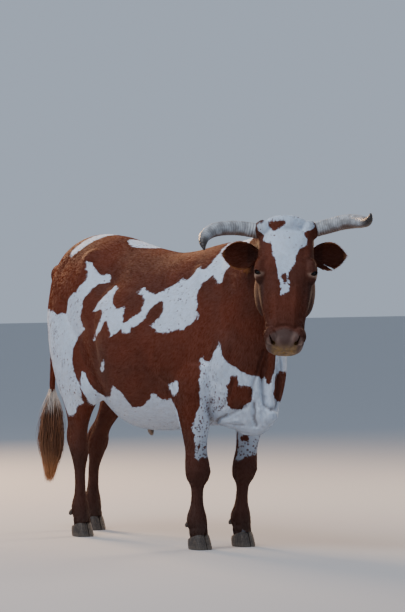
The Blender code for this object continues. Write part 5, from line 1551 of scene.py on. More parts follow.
def short_coat(hide, unwrap, draw, material):
    """Short tufts over the whole hide, in several pieces from the tail to the head."""
    points, out = points_of(hide), points_of(hide, "normal")
    corners, weights = spread_roots(hide, draw)
    root = at_roots(points, corners, weights)
    normal = at_roots(out, corners, weights)
    normal /= np.linalg.norm(normal, axis=1)[:, None] + 1e-9
    names = ("white", "ticks", "shade_and_dark", "head", "ear", "lip", "rim", "pale", "ear_edge_glow", "fold_shade")
    values = {name: at_roots(values_of(hide, name), corners, weights) for name in names}
    body = root - np.array(SHIFT)
    lie = lie_of_hair(body, normal, values)
    across = np.cross(normal, lie)
    count = len(root)
    turn = draw.normal(0, 0.13, count)[:, None]
    way = lie * np.cos(turn) + across * np.sin(turn)
    across = np.cross(normal, way)
    kinds = [SHORT[key] for key in ("trunk", "legs", "head", "ears")]
    legs = body[:, 2] < 0.50
    pick = np.where(values["ear"] > 0.4, 3, np.where(values["head"] > 0.5, 2, np.where(legs, 1, 0)))
    table = np.array(kinds)
    length = table[pick, 1] * draw.uniform(0.70, 1.20, count) * longer_hair(body, normal, values)
    wide = table[pick, 2] * draw.uniform(0.8, 1.3, count)
    lift = table[pick, 3] * draw.uniform(0.4, 1.5, count)
    base = root - normal * 0.0006
    ring = np.stack([
        base + across * (wide / 2)[:, None],
        base + normal * 0.0010 - way * (wide * 0.3)[:, None],
        base - across * (wide / 2)[:, None],
    ], axis=1)
    tip = root + way * (length * np.cos(lift))[:, None] + normal * (length * np.sin(lift) * 0.62)[:, None]
    over, ahead = across * 0.40, way * 0.15
    facing = np.stack([normal + over, normal - ahead, normal - over, normal + ahead], axis=1)
    facing /= np.linalg.norm(facing, axis=2)[:, :, None]
    values["root"] = root
    values["shade"] = draw.random(count)
    places = unwrap_places(root, unwrap)
    order = np.argsort(root[:, 0])
    pieces = []
    for number, part in enumerate(np.array_split(order, math.ceil(count / REGION_LIMIT))):
        kept = {key: numbers[part] for key, numbers in values.items()}
        made = tuft_mesh(f"coat_{number + 1}", [ring[part], tip[part]], kept, places[part], facing[part])
        made.data.materials.append(material)
        pieces.append(made)
    return pieces


def look_turn(side):
    """Carries the eye's own axes to the head in place."""
    return Matrix.Translation(eye_middle(side)) @ (head_frame().to_3x3() @ eye_turn(side)).to_4x4()


def eye_form(name, side):
    """A whole eyeball whose clear front bulges a little, with its points' places across the iris kept."""
    bpy.ops.object.select_all(action="DESELECT")
    bpy.ops.mesh.primitive_uv_sphere_add(segments=72, ring_count=48, radius=EYE_RADIUS)
    piece = bpy.context.object
    piece.name = name
    points = points_of(piece)
    flat = np.hypot(points[:, 0], points[:, 1])
    front = points[:, 2] > 0
    bulge = 0.0011 * np.clip(1 - (flat / 0.0135) ** 2, 0, 1) * front
    across = np.where(front[:, None], points, 1.0)
    keep_values(piece.data, {"across": across / EYE_RADIUS})
    move_points(piece, points * (1 + (bulge / EYE_RADIUS))[:, None])
    piece.data.transform(look_turn(side))
    return piece


def horn_form(name, rows):
    """A horn with its growth rings, and its points' places along it kept."""
    path, radii = smooth_path(rows, 150)
    count = len(path)
    wear = []
    for i, radius in enumerate(radii):
        t = i / (count - 1)
        ripple = 0.016 * math.sin(i * 1.25) + 0.010 * math.sin(i * 0.61 + 1.0)
        wear.append(radius * (1 + ripple * max(0.0, 1 - t * 1.35)))
    piece = tube(name, path, wear, 48)
    along = np.repeat(np.linspace(0, 1, count), 48)
    keep_values(piece.data, {"along": along})
    piece.data.transform(face_on())
    return piece


# The claws: how long a pair is and how wide each claw, for fore and hind feet, and half the cleft.
CLAW_SIZE = {"fore": (0.098, 0.041), "hind": (0.095, 0.039)}
CLAW_CLEFT = 0.0022
# A dewclaw: how far forwards its root is on fore and hind feet, how far to the side and how high, its
# direction, and its places along it with its radii there.
DEWCLAW_BACK = {"fore": -0.037, "hind": -0.035}
DEWCLAW_ROOT = (0.008, 0.019, 0.112)
DEWCLAW_WAY = (-0.62, 0.26, -0.74)
DEWCLAW_STEPS = (0.0, 0.008, 0.015, 0.021, 0.026, 0.029, 0.0305)
DEWCLAW_RADII = (0.0085, 0.0108, 0.0108, 0.0094, 0.0070, 0.0040, 0.0010)


def claw_form(foot, side):
    """One claw: flat towards its neighbour, rounded outside, with a sloping front and growth ridges."""
    x, y = FEET[foot]
    length, wide = CLAW_SIZE[foot.split("_")[0]]
    rings = []
    levels = 18
    for i in range(levels):
        t = i / (levels - 1)
        reach = 1.0 - 0.18 * t ** 1.5
        shift = 0.014 * (1 - t) ** 1.1
        swell = 1.0 - 0.08 * t ** 2
        tuck = 0.0022 * max(0.0, 1 - t / 0.10) + 0.0012 * max(0.0, (t - 0.9) / 0.1)
        ridge = 0.0005 * math.sin(i * 2.1) * (0.15 < t < 0.9)
        loop = []
        for k in range(25):
            a = math.pi * k / 24
            half = length * reach / 2 - tuck + ridge
            bulge = (wide * swell - tuck + ridge) * math.sin(a) ** 0.62
            loop.append((math.cos(a) * half, CLAW_CLEFT + bulge))
        for k in range(1, 8):
            a = -1 + 2 * k / 8
            loop.append((a * length * reach * 0.42, CLAW_CLEFT + 0.0016 * (1 - a * a) * (t < 0.96)))
        points = []
        for along, across in loop:
            px = x + FOOT_LEAN * 0.5 + shift + along
            top = CORONET + CORONET_SLOPE * (px - x - FOOT_LEAN) - 0.0004
            points.append(Vector((px, y + across * side, max(0.0, t * top))))
        rings.append(points)
    return loft("claw_form", rings)


def hoof_form(foot):
    x, y = FEET[foot]
    back = DEWCLAW_BACK[foot.split("_")[0]]
    ahead, beside, high = DEWCLAW_ROOT
    pieces = [claw_form(foot, side) for side in (-1, 1)]
    for side in (-1, 1):
        root = Vector((x + back + ahead, y + beside * side, high))
        along = mirrored(DEWCLAW_WAY, side).normalized()
        path = [root + along * far for far in DEWCLAW_STEPS]
        pieces.append(tube("dewclaw", path, DEWCLAW_RADII, 24))
    return join_pieces("hooves_" + foot, pieces)


def strand_rows(path, wide, thick, face, around=3):
    """Rings of points for one flat tapered strand along a path, the last one its tip."""
    rows = []
    for i, here in enumerate(path):
        along = path[min(i + 1, len(path) - 1)] - path[max(i - 1, 0)]
        along = along / (np.linalg.norm(along) + 1e-9)
        flat = np.cross(face, along)
        flat = flat / (np.linalg.norm(flat) + 1e-9)
        out = np.cross(along, flat)
        if i == len(path) - 1:
            rows.append(here[None])
            break
        turns = (2 * math.pi * np.arange(around) / around)[:, None]
        rows.append(here + np.cos(turns) * flat * wide[i] / 2 + np.sin(turns) * out * thick[i] / 2)
    return rows


def strands(name, made, values):
    """Many strands, each a list of rings, as one mesh of tufts."""
    rows = [np.stack([strand[i] for strand in made]) for i in range(len(made[0]))]
    places = np.stack([values["shade"], values["depth"]], axis=1) * 0.96 + 0.02
    return tuft_mesh(name, rows, values, places)


def rising_to(t):
    """A smooth step from 0 to 1."""
    t = min(1.0, max(0.0, t))
    return t * t * (3 - 2 * t)


# The tail's long hair: the end of the tail, and how wide and thick a strand is along its length.
SWITCH_PLACE = (-0.767, -0.056)
SWITCH_WIDE = (0.0018, 0.0030, 0.0036, 0.0034, 0.0030, 0.0022, 0.0013, 0.0)
SWITCH_THICK = (0.0010, 0.0013, 0.0014, 0.0013, 0.0012, 0.0010, 0.0007, 0.0)
# The same for the belly's brush and the lashes. A row of lashes is half as long and as high as this, and
# stands this far off the eyeball.
SHEATH_PLACE = (-0.105, -0.004, 0.474)
SHEATH_WIDE = (0.0022, 0.0026, 0.0022, 0.0014, 0.0)
SHEATH_THICK = (0.0010, 0.0012, 0.0010, 0.0008, 0.0)
LASH_ROW = (0.0180, 0.0122)
LASH_OFF = 0.0030
LASH_WIDE = (0.0006, 0.0006, 0.0004, 0.0)
LASH_THICK = (0.0004, 0.0004, 0.0003, 0.0)


def switch_form(draw, count):
    """The tail's long hair: strands that fall from all round the tail's end, swell out and draw in."""
    made, shade, depth, start_at = [], [], [], []
    for k in range(count):
        turn = 2 * math.pi * draw.random()
        level = draw.random() ** 0.8
        inner = draw.random()
        start = 0.618 - 0.221 * level
        end = 0.420 - 0.170 * min(1.0, 1.4 * level) - 0.045 * draw.random() ** 2
        if k % 4 == 0:
            end = 0.200 + 0.080 * draw.random()
        around = np.array((math.cos(turn), math.sin(turn), 0.0))
        grown_from = 0.010 if start > 0.578 else 0.012 + 0.012 * inner
        base = np.array((*SWITCH_PLACE, start)) + around * grown_from
        belly = (0.041 * (1 - 0.35 * level) * (0.35 + 0.65 * inner)) * draw.uniform(0.85, 1.15)
        drift = np.array((draw.uniform(-0.020, 0.002), draw.uniform(-0.022, 0.002), 0.0))
        wave = draw.uniform(-0.0035, 0.0035)
        beside = np.array((-around[1], around[0], 0.0))
        path = []
        for j in range(8):
            t = j / 7
            bulge = math.sin(math.pi * min(1.0, t * 0.80 + 0.05)) ** 1.4
            here = np.array((base[0], base[1], start + (end - start) * t))
            narrow = 1 - 0.62 * rising_to((0.40 - here[2]) / 0.19)
            here = here + around * belly * bulge * narrow + drift * t * t
            here[:2] -= around[:2] * grown_from * (1 - narrow)
            path.append(here + beside * wave * math.sin(5 * t + turn))
        made.append(strand_rows(path, SWITCH_WIDE, SWITCH_THICK, around))
        shade.append(draw.random())
        depth.append(inner)
        start_at.append(level)
    values = {"shade": np.array(shade), "depth": np.array(depth), "level": np.array(start_at)}
    return strands("tail_hair", made, values)


def sheath_form(draw, count):
    """The short brush of hair at the lowest point of the belly."""
    place = np.array(SHEATH_PLACE)
    made, shade, depth = [], [], []
    for _ in range(count):
        turn = 2 * math.pi * draw.random()
        inner = math.sqrt(draw.random())
        around = np.array((math.cos(turn), math.sin(turn), 0.0))
        length = draw.uniform(0.020, 0.036)
        path = []
        for j in range(5):
            t = j / 4
            spread = 0.010 * inner + 0.004 * inner * math.sin(math.pi * t) - 0.006 * inner * t * t
            path.append(place + around * spread + np.array((0.010 * t * t, 0, -length * t)))
        made.append(strand_rows(path, SHEATH_WIDE, SHEATH_THICK, around))
        shade.append(draw.random())
        depth.append(inner)
    values = {"shade": np.array(shade), "depth": np.array(depth), "level": np.zeros(count)}
    return strands("sheath_hair", made, values)


def lashes_form(draw, side, count):
    """The row of lashes that hangs from the edge of an upper lid."""
    turn = look_turn(side)
    made, shade = [], []
    for k in range(count):
        a = -side * math.radians(20 + 140 * (k + draw.random()) / count)
        lid = Vector((LASH_ROW[0] * math.cos(a), LASH_ROW[1] * math.sin(a), 0.0))
        lid.z = math.sqrt(max(0.0, (EYE_RADIUS + LASH_OFF) ** 2 - lid.x ** 2 - lid.y ** 2))
        out = Vector((math.cos(a) * 0.5, math.sin(a), 0.9)).normalized()
        length = draw.uniform(0.007, 0.012)
        path = []
        for j in range(4):
            t = j / 3
            here = lid + out * length * t + Vector((0, math.sin(a), -0.2)) * (-0.0022 * t * t)
            path.append(np.array(tuple(turn @ here)))
        face = np.array(tuple(turn.to_3x3() @ Vector((0, 0, 1))))
        made.append(strand_rows(path, LASH_WIDE, LASH_THICK, face))
        shade.append(draw.random())
    values = {"shade": np.array(shade), "depth": np.zeros(count), "level": np.ones(count)}
    return strands("lashes", made, values)


def new_material(name):
    material = bpy.data.materials.new(name)
    material.use_nodes = True
    return material, material.node_tree, material.node_tree.nodes["Principled BSDF"]


def add(tree, kind, **settings):
    node = tree.nodes.new(kind)
    for key, value in settings.items():
        setattr(node, key, value)
    return node


def object_place(tree):
    """Where on the object a place is."""
    return add(tree, "ShaderNodeTexCoord").outputs["Object"]


def fed(tree, socket, given):
    """Gives a socket another node's output, a number or a colour."""
    if isinstance(given, (int, float)):
        socket.default_value = given
    elif isinstance(given, tuple):
        socket.default_value = (*given[:3], 1.0)
    else:
        tree.links.new(given, socket)


def maths(tree, operation, one, two=None, clamp=False):
    """A Math node whose inputs are other nodes' outputs or plain numbers."""
    node = add(tree, "ShaderNodeMath", operation=operation, use_clamp=clamp)
    fed(tree, node.inputs[0], one)
    if two is not None:
        fed(tree, node.inputs[1], two)
    return node.outputs[0]


def times(tree, one, two):
    return maths(tree, "MULTIPLY", one, two)


def plus(tree, one, two):
    return maths(tree, "ADD", one, two)


def waves(tree, value):
    """A smooth wave between 0 and 1."""
    return plus(tree, times(tree, maths(tree, "SINE", value), 0.5), 0.5)


def length_of(tree, one, two):
    """The length of a flat step with these two parts."""
    return maths(tree, "SQRT", plus(tree, maths(tree, "POWER", one, 2.0), maths(tree, "POWER", two, 2.0)))


def parts_of(tree, vector):
    """The three numbers of a vector."""
    node = add(tree, "ShaderNodeSeparateXYZ")
    tree.links.new(vector, node.inputs[0])
    return node.outputs


def blended(tree, factor, one, two, blend="MIX"):
    """A colour between two, by a mask."""
    node = add(tree, "ShaderNodeMix", data_type="RGBA", blend_type=blend)
    for socket, given in ((0, factor), (6, one), (7, two)):
        fed(tree, node.inputs[socket], given)
    return node.outputs[2]


def mixed(tree, factor, one, two):
    """A number between two, by a mask."""
    node = add(tree, "ShaderNodeMix", data_type="FLOAT")
    for socket, given in ((0, factor), (2, one), (3, two)):
        fed(tree, node.inputs[socket], given)
    return node.outputs[0]


def stepped(tree, value, low, high):
    """0 below low and 1 above high, with a smooth step between."""
    node = add(tree, "ShaderNodeMapRange", interpolation_type="SMOOTHSTEP")
    tree.links.new(value, node.inputs[0])
    node.inputs[1].default_value = low
    node.inputs[2].default_value = high
    return node.outputs[0]


def noise(tree, vector, scale, detail=2.0):
    node = add(tree, "ShaderNodeTexNoise")
    tree.links.new(vector, node.inputs["Vector"])
    node.inputs["Scale"].default_value = scale
    node.inputs["Detail"].default_value = detail
    return node.outputs[0]


def stretched_noise(tree, vector, scale):
    """Noise whose grain is this fine along each axis."""
    stretch = add(tree, "ShaderNodeMapping")
    stretch.inputs["Scale"].default_value = scale
    tree.links.new(vector, stretch.inputs["Vector"])
    return noise(tree, stretch.outputs[0], 1.0, 3)


def bumped(tree, shader, height, strength, distance):
    """Makes the surface look as if it rose by this height."""
    bump = add(tree, "ShaderNodeBump")
    bump.inputs["Strength"].default_value = strength
    bump.inputs["Distance"].default_value = distance
    tree.links.new(height, bump.inputs["Height"])
    tree.links.new(bump.outputs[0], shader.inputs["Normal"])


def lit(tree, shader, colour, light):
    """Gives the shader this colour, made lighter or darker by a number."""
    scaled = add(tree, "ShaderNodeVectorMath", operation="SCALE")
    tree.links.new(colour, scaled.inputs[0])
    tree.links.new(light, scaled.inputs[3])
    tree.links.new(scaled.outputs[0], shader.inputs["Base Color"])


def read(tree, name):
    """A number kept at the mesh's points."""
    return add(tree, "ShaderNodeAttribute", attribute_name=name).outputs["Fac"]


def read_vector(tree, name):
    return add(tree, "ShaderNodeAttribute", attribute_name=name).outputs["Vector"]


def new_group(name, inputs, outputs):
    """A node group with these sockets, its input node and its output node."""
    group = bpy.data.node_groups.new(name, "ShaderNodeTree")
    for way, sockets in (("INPUT", inputs), ("OUTPUT", outputs)):
        for label, kind, default in sockets:
            socket = group.interface.new_socket(label, in_out=way, socket_type="NodeSocket" + kind)
            if default is not None:
                socket.default_value = default
    return group, add(group, "NodeGroupInput").outputs, add(group, "NodeGroupOutput").inputs


# Colours that stay as they are: deep and light red, shadow in the white, and the dark that the lower legs and
# the muzzle turn to, which also lays painted shade on the face's sides, beside the nose and in the ear cups.
DEEP_RED = (0.050, 0.012, 0.006)
LIGHT_RED = (0.20, 0.060, 0.020)
SHADED_WHITE = (0.50, 0.50, 0.53)
SHADE_AND_DARK = (0.022, 0.007, 0.003)


def tick_mask(group, place, ticks):
    """Dark dots, as many as ticks says: in patches up to 1, and all over above it."""
    cells = add(group, "ShaderNodeTexVoronoi", feature="F1")
    group.links.new(place, cells.inputs["Vector"])
    cells.inputs["Scale"].default_value = 92
    cells.inputs["Randomness"].default_value = 1.0
    split = add(group, "ShaderNodeSeparateColor")
    group.links.new(cells.outputs["Color"], split.inputs[0])
    patchy = times(group, stepped(group, noise(group, place, 11, 2), 0.36, 0.58), ticks)
    crowded = maths(group, "SUBTRACT", ticks, 1.0, True)
    chosen = maths(group, "LESS_THAN", split.outputs[0], maths(group, "MAXIMUM", patchy, crowded))
    size = plus(group, times(group, split.outputs[1], 0.25), 0.22)
    return times(group, chosen, maths(group, "LESS_THAN", cells.outputs["Distance"], size))


def pied_coat_group():
    """Red and white hair with ragged edges between them, dark ticks in the white, and a darkening: darker
    lower legs and muzzle, and painted shade on the face and in the ear cups.
    """
    found = bpy.data.node_groups.get("Pied coat")
    if found:
        return found
    numbers = [(name, "Float", 0.0) for name in ("White", "Ticks", "Shade_and_dark")]
    colours = [("Red hair", "Color", (0.12, 0.03, 0.012, 1)), ("White hair", "Color", (0.8, 0.8, 0.82, 1))]
    inputs = [("Place", "Vector", None), *numbers, *colours]
    group, start, end = new_group("Pied coat", inputs, [("Color", "Color", None)])
    place = start["Place"]
    ragged = times(group, maths(group, "SUBTRACT", noise(group, place, 55, 3), 0.5), 0.020)
    fine = times(group, maths(group, "SUBTRACT", noise(group, place, 230, 2), 0.5), 0.013)
    edge = plus(group, start["White"], plus(group, ragged, fine))
    tick = times(group, tick_mask(group, place, start["Ticks"]), 0.85)
    white = times(group, stepped(group, edge, -0.0012, 0.0012), maths(group, "SUBTRACT", 1.0, tick))
    wide = times(group, stepped(group, noise(group, place, 5, 2), 0.40, 0.66), 0.55)
    near = noise(group, place, 60, 3)
    deep = blended(group, wide, start["Red hair"], DEEP_RED)
    red = blended(group, times(group, near, 0.18), deep, LIGHT_RED)
    shadow = times(group, stepped(group, near, 0.35, 0.75), 0.30)
    colour = blended(group, white, red, blended(group, shadow, start["White hair"], SHADED_WHITE))
    colour = blended(group, times(group, start["Shade_and_dark"], 0.92), colour, SHADE_AND_DARK)
    group.links.new(colour, end["Color"])
    return group


def hair_grain_group():
    """Fine streaks that run with the hair: backwards on the body and down on the legs and face."""
    found = bpy.data.node_groups.get("Hair grain")
    if found:
        return found
    inputs = [("Place", "Vector", None), ("Upright", "Float", 0.0)]
    group, start, end = new_group("Hair grain", inputs, [("Height", "Float", None)])
    level = stretched_noise(group, start["Place"], (70, 420, 420))
    upright = stretched_noise(group, start["Place"], (420, 420, 70))
    group.links.new(mixed(group, start["Upright"], level, upright), end["Height"])
    return group


def placed_group(tree, group):
    return add(tree, "ShaderNodeGroup", node_tree=group)


def pied(tree, place, settings, ticked):
    """The pied coat's colour, fed with what the mesh keeps, with this share of its ticks up to 1."""
    node = placed_group(tree, pied_coat_group())
    tree.links.new(place, node.inputs["Place"])
    for name in ("White", "Shade_and_dark"):
        tree.links.new(read(tree, name.lower()), node.inputs[name])
    ticks = read(tree, "ticks")
    crowded = times(tree, ticks, maths(tree, "GREATER_THAN", ticks, 1.0))
    tree.links.new(maths(tree, "MAXIMUM", times(tree, ticks, ticked), crowded), node.inputs["Ticks"])
    node.inputs["Red hair"].default_value = (*settings.red_hair, 1)
    node.inputs["White hair"].default_value = (*settings.white_hair, 1)
    return shaded_folds(tree, node.outputs["Color"])


def shaded_folds(tree, colour):
    """This colour, darker and browner at the bottom of the brisket's folds: painted shade in the creases."""
    return blended(tree, times(tree, read(tree, "fold_shade"), 0.85), colour, (0.30, 0.22, 0.18), "MULTIPLY")


# Colours of bare or thinly haired places and of painted light: what they are called on the mesh, on the skin
# and on the hair. The nostrils' pale rims share their colour with a painted highlight along the pad, and the
# lower lids' pale colour is a painted highlight.
RIM_AND_PAD_HIGHLIGHT = (0.230, 0.140, 0.110)
LID_HIGHLIGHT = (0.400, 0.270, 0.200)
# The ears' edges, painted orange as if lit from behind: painted light.
EAR_EDGE_GLOW = (0.340, 0.130, 0.045)
SKIN_TINTS = (("bare", (0.070, 0.028, 0.019)), ("lip", (0.250, 0.140, 0.030)), ("rim", RIM_AND_PAD_HIGHLIGHT), ("pale", LID_HIGHLIGHT),
              ("lids", (0.022, 0.012, 0.010)), ("ear_edge_glow", EAR_EDGE_GLOW))
HAIR_TINTS = (("lip", (0.240, 0.130, 0.030)), ("rim", RIM_AND_PAD_HIGHLIGHT), ("pale", LID_HIGHLIGHT), ("ear_edge_glow", EAR_EDGE_GLOW))


def bare_skin(tree, colour):
    """The bare muzzle, lower lip, rims of the nostrils and lids over this colour, with the painted highlights
    of the pad and lower lids and the painted glow of the ears' edges.
    """
    blotch = stepped(tree, noise(tree, object_place(tree), 70, 4), 0.36, 0.60)
    for name, tint in SKIN_TINTS:
        share = read(tree, name)
        if name == "lip":
            share = times(tree, share, plus(tree, times(tree, blotch, 0.55), 0.42))
        colour = blended(tree, share, colour, tint)
    return colour


def bare_places_on_hair(tree, colour):
    # The lower lip and nostril rims, with the painted highlights of the pad and lower lids and the painted
    # glow of the ears' edges, over the hair's colour.
    for name, tint in HAIR_TINTS:
        colour = blended(tree, read(tree, name), colour, tint)
    return colour


def hide_material(settings):
    material, tree, shader = new_material("hide_skin")
    here = object_place(tree)
    tree.links.new(bare_skin(tree, pied(tree, here, settings, 0.25)), shader.inputs["Base Color"])
    rough = add(tree, "ShaderNodeMapRange")
    tree.links.new(maths(tree, "MAXIMUM", read(tree, "bare"), read(tree, "lip")), rough.inputs[0])
    rough.inputs[3].default_value = 0.78
    rough.inputs[4].default_value = 0.42
    tree.links.new(rough.outputs[0], shader.inputs["Roughness"])
    grain = placed_group(tree, hair_grain_group())
    tree.links.new(here, grain.inputs["Place"])
    tree.links.new(read(tree, "head"), grain.inputs["Upright"])
    pebbles = add(tree, "ShaderNodeTexVoronoi", feature="DISTANCE_TO_EDGE")
    tree.links.new(here, pebbles.inputs["Vector"])
    pebbles.inputs["Scale"].default_value = 260
    pebble = stepped(tree, pebbles.outputs["Distance"], 0.0, 0.22)
    bumped(tree, shader, mixed(tree, read(tree, "bare"), grain.outputs["Height"], pebble), 0.5, 0.0010)
    return material


def coat_material(settings):
    material, tree, shader = new_material("short_coat")
    colour = bare_places_on_hair(tree, pied(tree, read_vector(tree, "root"), settings, 1.0))
    light = plus(tree, times(tree, read(tree, "shade"), 0.24), 0.84)
    light = times(tree, light, plus(tree, times(tree, read(tree, "along"), 0.20), 0.88))
    lit(tree, shader, colour, light)
    shader.inputs["Roughness"].default_value = 0.60
    shader.inputs["Specular IOR Level"].default_value = 0.09
    return material


def eye_material(settings):
    material, tree, shader = new_material("eye_wet")
    along, up, _ = parts_of(tree, read_vector(tree, "across"))
    flat = length_of(tree, along, up)
    pupil = length_of(tree, along, times(tree, up, 2.1))
    streaks = noise(tree, read_vector(tree, "across"), 9.0, 4)
    iris = blended(tree, streaks, tuple(settings.iris), (0.012, 0.006, 0.004))
    colour = blended(tree, stepped(tree, flat, 0.68, 0.78), iris, (0.24, 0.17, 0.13))
    colour = blended(tree, stepped(tree, pupil, 0.40, 0.46), (0.0015, 0.0015, 0.002), colour)
    tree.links.new(colour, shader.inputs["Base Color"])
    shader.inputs["Roughness"].default_value = 0.04
    shader.inputs["Specular IOR Level"].default_value = 0.22
    return material


def horn_material(settings):
    """Grey rings, brown below and dark at the tip."""
    material, tree, shader = new_material("horn_ringed")
    along = read(tree, "along")
    here = object_place(tree)
    wobble = times(tree, noise(tree, here, 22, 3), 0.030)
    rings = waves(tree, times(tree, plus(tree, along, wobble), 210.0))
    soft = stepped(tree, noise(tree, here, 35, 4), 0.35, 0.65)
    base = blended(tree, soft, tuple(settings.horn_colour), (0.26, 0.26, 0.27))
    base = blended(tree, times(tree, rings, 0.35), base, (0.13, 0.12, 0.12))
    facing = parts_of(tree, add(tree, "ShaderNodeNewGeometry").outputs["Normal"])[2]
    patches = times(tree, noise(tree, here, 28, 4), 0.9)
    under = stepped(tree, plus(tree, times(tree, facing, -1.0), patches), 0.75, 1.25)
    base = blended(tree, times(tree, under, 0.75), base, (0.13, 0.060, 0.032))
    tip = stepped(tree, plus(tree, along, times(tree, noise(tree, here, 30, 3), 0.10)), 0.80, 0.98)
    base = blended(tree, tip, base, (0.035, 0.028, 0.026))
    tree.links.new(base, shader.inputs["Base Color"])
    shader.inputs["Roughness"].default_value = 0.42
    bumped(tree, shader, plus(tree, rings, noise(tree, here, 240, 3)), 0.9, 0.0012)
    return material


def hoof_material(settings):
    """Dark horn with level ridges, streaks down it and dust near the ground."""
    material, tree, shader = new_material("hoof_worn")
    here = object_place(tree)
    height = parts_of(tree, here)[2]
    level = plus(tree, height, times(tree, noise(tree, here, 60, 3), 0.006))
    ridges = waves(tree, times(tree, level, 1300.0))
    streaks = stretched_noise(tree, here, (260, 260, 40))
    base = blended(tree, stepped(tree, streaks, 0.4, 0.7), tuple(settings.hoof_colour), (0.10, 0.075, 0.058))
    dust = stepped(tree, times(tree, height, -1.0), -0.022, -0.002)
    base = blended(tree, times(tree, dust, 0.45), base, (0.15, 0.125, 0.10))
    tree.links.new(base, shader.inputs["Base Color"])
    shader.inputs["Roughness"].default_value = 0.55
    bumped(tree, shader, plus(tree, ridges, streaks), 0.45, 0.0007)
    return material


def long_hair_material(name, inside, outside, ends, banded=False):
    """Strands that are dark inside and pale at their ends, the banded ones also pale above and orange below,
    where the orange band is painted backlight.
    """
    material, tree, shader = new_material(name)
    colour = blended(tree, stepped(tree, read(tree, "depth"), 0.45, 0.95), inside, outside)
    tip = times(tree, stepped(tree, read(tree, "along"), 0.45, 1.0), 0.75)
    colour = blended(tree, tip, colour, ends)
    if banded:
        height = parts_of(tree, object_place(tree))[2]
        height = plus(tree, height, times(tree, read(tree, "shade"), 0.05))
        # An orange band at the lower end of the strands: painted backlight.
        below = stepped(tree, times(tree, height, -1.0), -0.370, -0.255)
        colour = blended(tree, times(tree, below, 0.8), colour, (0.62, 0.27, 0.10))
        above = stepped(tree, height, 0.530, 0.600)
        colour = blended(tree, times(tree, above, 0.85), colour, (0.66, 0.62, 0.58))
    lit(tree, shader, colour, plus(tree, times(tree, read(tree, "shade"), 0.5), 0.7))
    shader.inputs["Roughness"].default_value = 0.55
    return material


# The camera stands this far before a place between the forefeet, this far to the right of it and this
# high, and looks a little down. Its focal length and the picture's longer side are in pixels.
CAMERA_FOOT = (0.40, -0.128, 0)
CAMERA_FAR = 15.5
CAMERA_ACROSS = 0.019
CAMERA_HEIGHT = 1.33
CAMERA_TIP = math.radians(-1.227)
FOCAL_LENGTH = 3782
LONG_SIDE = 612
SENSOR_WIDTH = 36
CAMERA_LENS = FOCAL_LENGTH * SENSOR_WIDTH / LONG_SIDE
# The light that comes from all round, and the lamps: where each is from the body's middle, towards the
# camera, to its right and up, how wide it is, its power and its colour.
ROOM_COLOUR = (0.70, 0.82, 1.0, 1)
ROOM_LIGHT = 0.55
LIGHTS = (
    ("key", (3.0, -2.5, 5.0), 3.5, 230, (0.97, 0.98, 1.0)),
    ("rim", (-5.0, -3.0, 2.4), 1.6, 560, (1.0, 0.62, 0.34)),
    ("edge", (-3.6, 3.6, 2.2), 1.6, 170, (1.0, 0.72, 0.48)),
)


def area_light(name, place, target, width, power, colour):
    data = bpy.data.lights.new(name, "AREA")
    data.shape = "RECTANGLE"
    data.size = width
    data.size_y = width
    data.energy = power
    data.color = colour
    made = linked(name, data)
    made.location = place
    made.rotation_euler = (Vector(target) - Vector(place)).to_track_quat("-Z", "Y").to_euler()


FLOOR_COLOUR = (0.44, 0.45, 0.47, 1)


def stage_floor(size):
    bpy.ops.object.select_all(action="DESELECT")
    bpy.ops.mesh.primitive_plane_add(size=size, location=(0, 0, 0))
    floor = bpy.context.object
    floor.name = "floor"
    material, _, shader = new_material("pale_floor")
    shader.inputs["Base Color"].default_value = FLOOR_COLOUR
    shader.inputs["Roughness"].default_value = 0.85
    floor.data.materials.append(material)


def stage_camera():
    """Sets the camera, and gives the ways behind it and to its right and the place that it stands before."""
    back = Vector((math.sin(FACING_AZIMUTH), -math.cos(FACING_AZIMUTH), 0))
    right = Vector((math.cos(FACING_AZIMUTH), math.sin(FACING_AZIMUTH), 0))
    foot = Vector(CAMERA_FOOT) + SHIFT
    data = bpy.data.cameras.new("camera")
    data.lens = CAMERA_LENS
    data.sensor_width = SENSOR_WIDTH
    data.sensor_fit = "AUTO"
    data.clip_end = 200
    camera = linked("camera", data)
    camera.location = foot + back * CAMERA_FAR + right * CAMERA_ACROSS + Vector((0, 0, CAMERA_HEIGHT))
    camera.rotation_euler = (math.radians(90) + CAMERA_TIP, 0, FACING_AZIMUTH)
    bpy.context.scene.camera = camera
    return back, right, foot


def colour_setting(name, description, default):
    return FloatVectorProperty(
        name=name, description=description, subtype="COLOR", default=default, min=0, max=1)


class OxSettings(bpy.types.PropertyGroup):
    red_hair: colour_setting("Red hair", "Colour of the dark part of the coat", (0.105, 0.0155, 0.0030))
    # The white hair is tinted blue: painted blue sky light, as white looks in shade.
    white_hair: colour_setting("White hair", "Colour of the pale part of the coat", (0.64, 0.745, 0.89))
    horn_colour: colour_setting("Horn", "Colour of the horns' middle", (0.50, 0.53, 0.57))
    hoof_colour: colour_setting("Hoof", "Colour of the claws", (0.035, 0.027, 0.023))
    iris: colour_setting("Iris", "Colour round the pupil", (0.035, 0.016, 0.008))
    switch_strands: IntProperty(
        name="Tail strands", description="How many strands the tail's hair has", default=2600, min=100)
    sheath_strands: IntProperty(
        name="Belly strands", description="How many strands the belly's brush has", default=160, min=20)
    lash_count: IntProperty(
        name="Lashes", description="How many lashes each upper lid has", default=70, min=5)
    seed: IntProperty(name="Seed", description="Where each hair falls", default=11)
    floor_size: FloatProperty(
        name="Floor", description="Width of the floor", default=60.0, min=4.0,
        unit="LENGTH", subtype="DISTANCE")


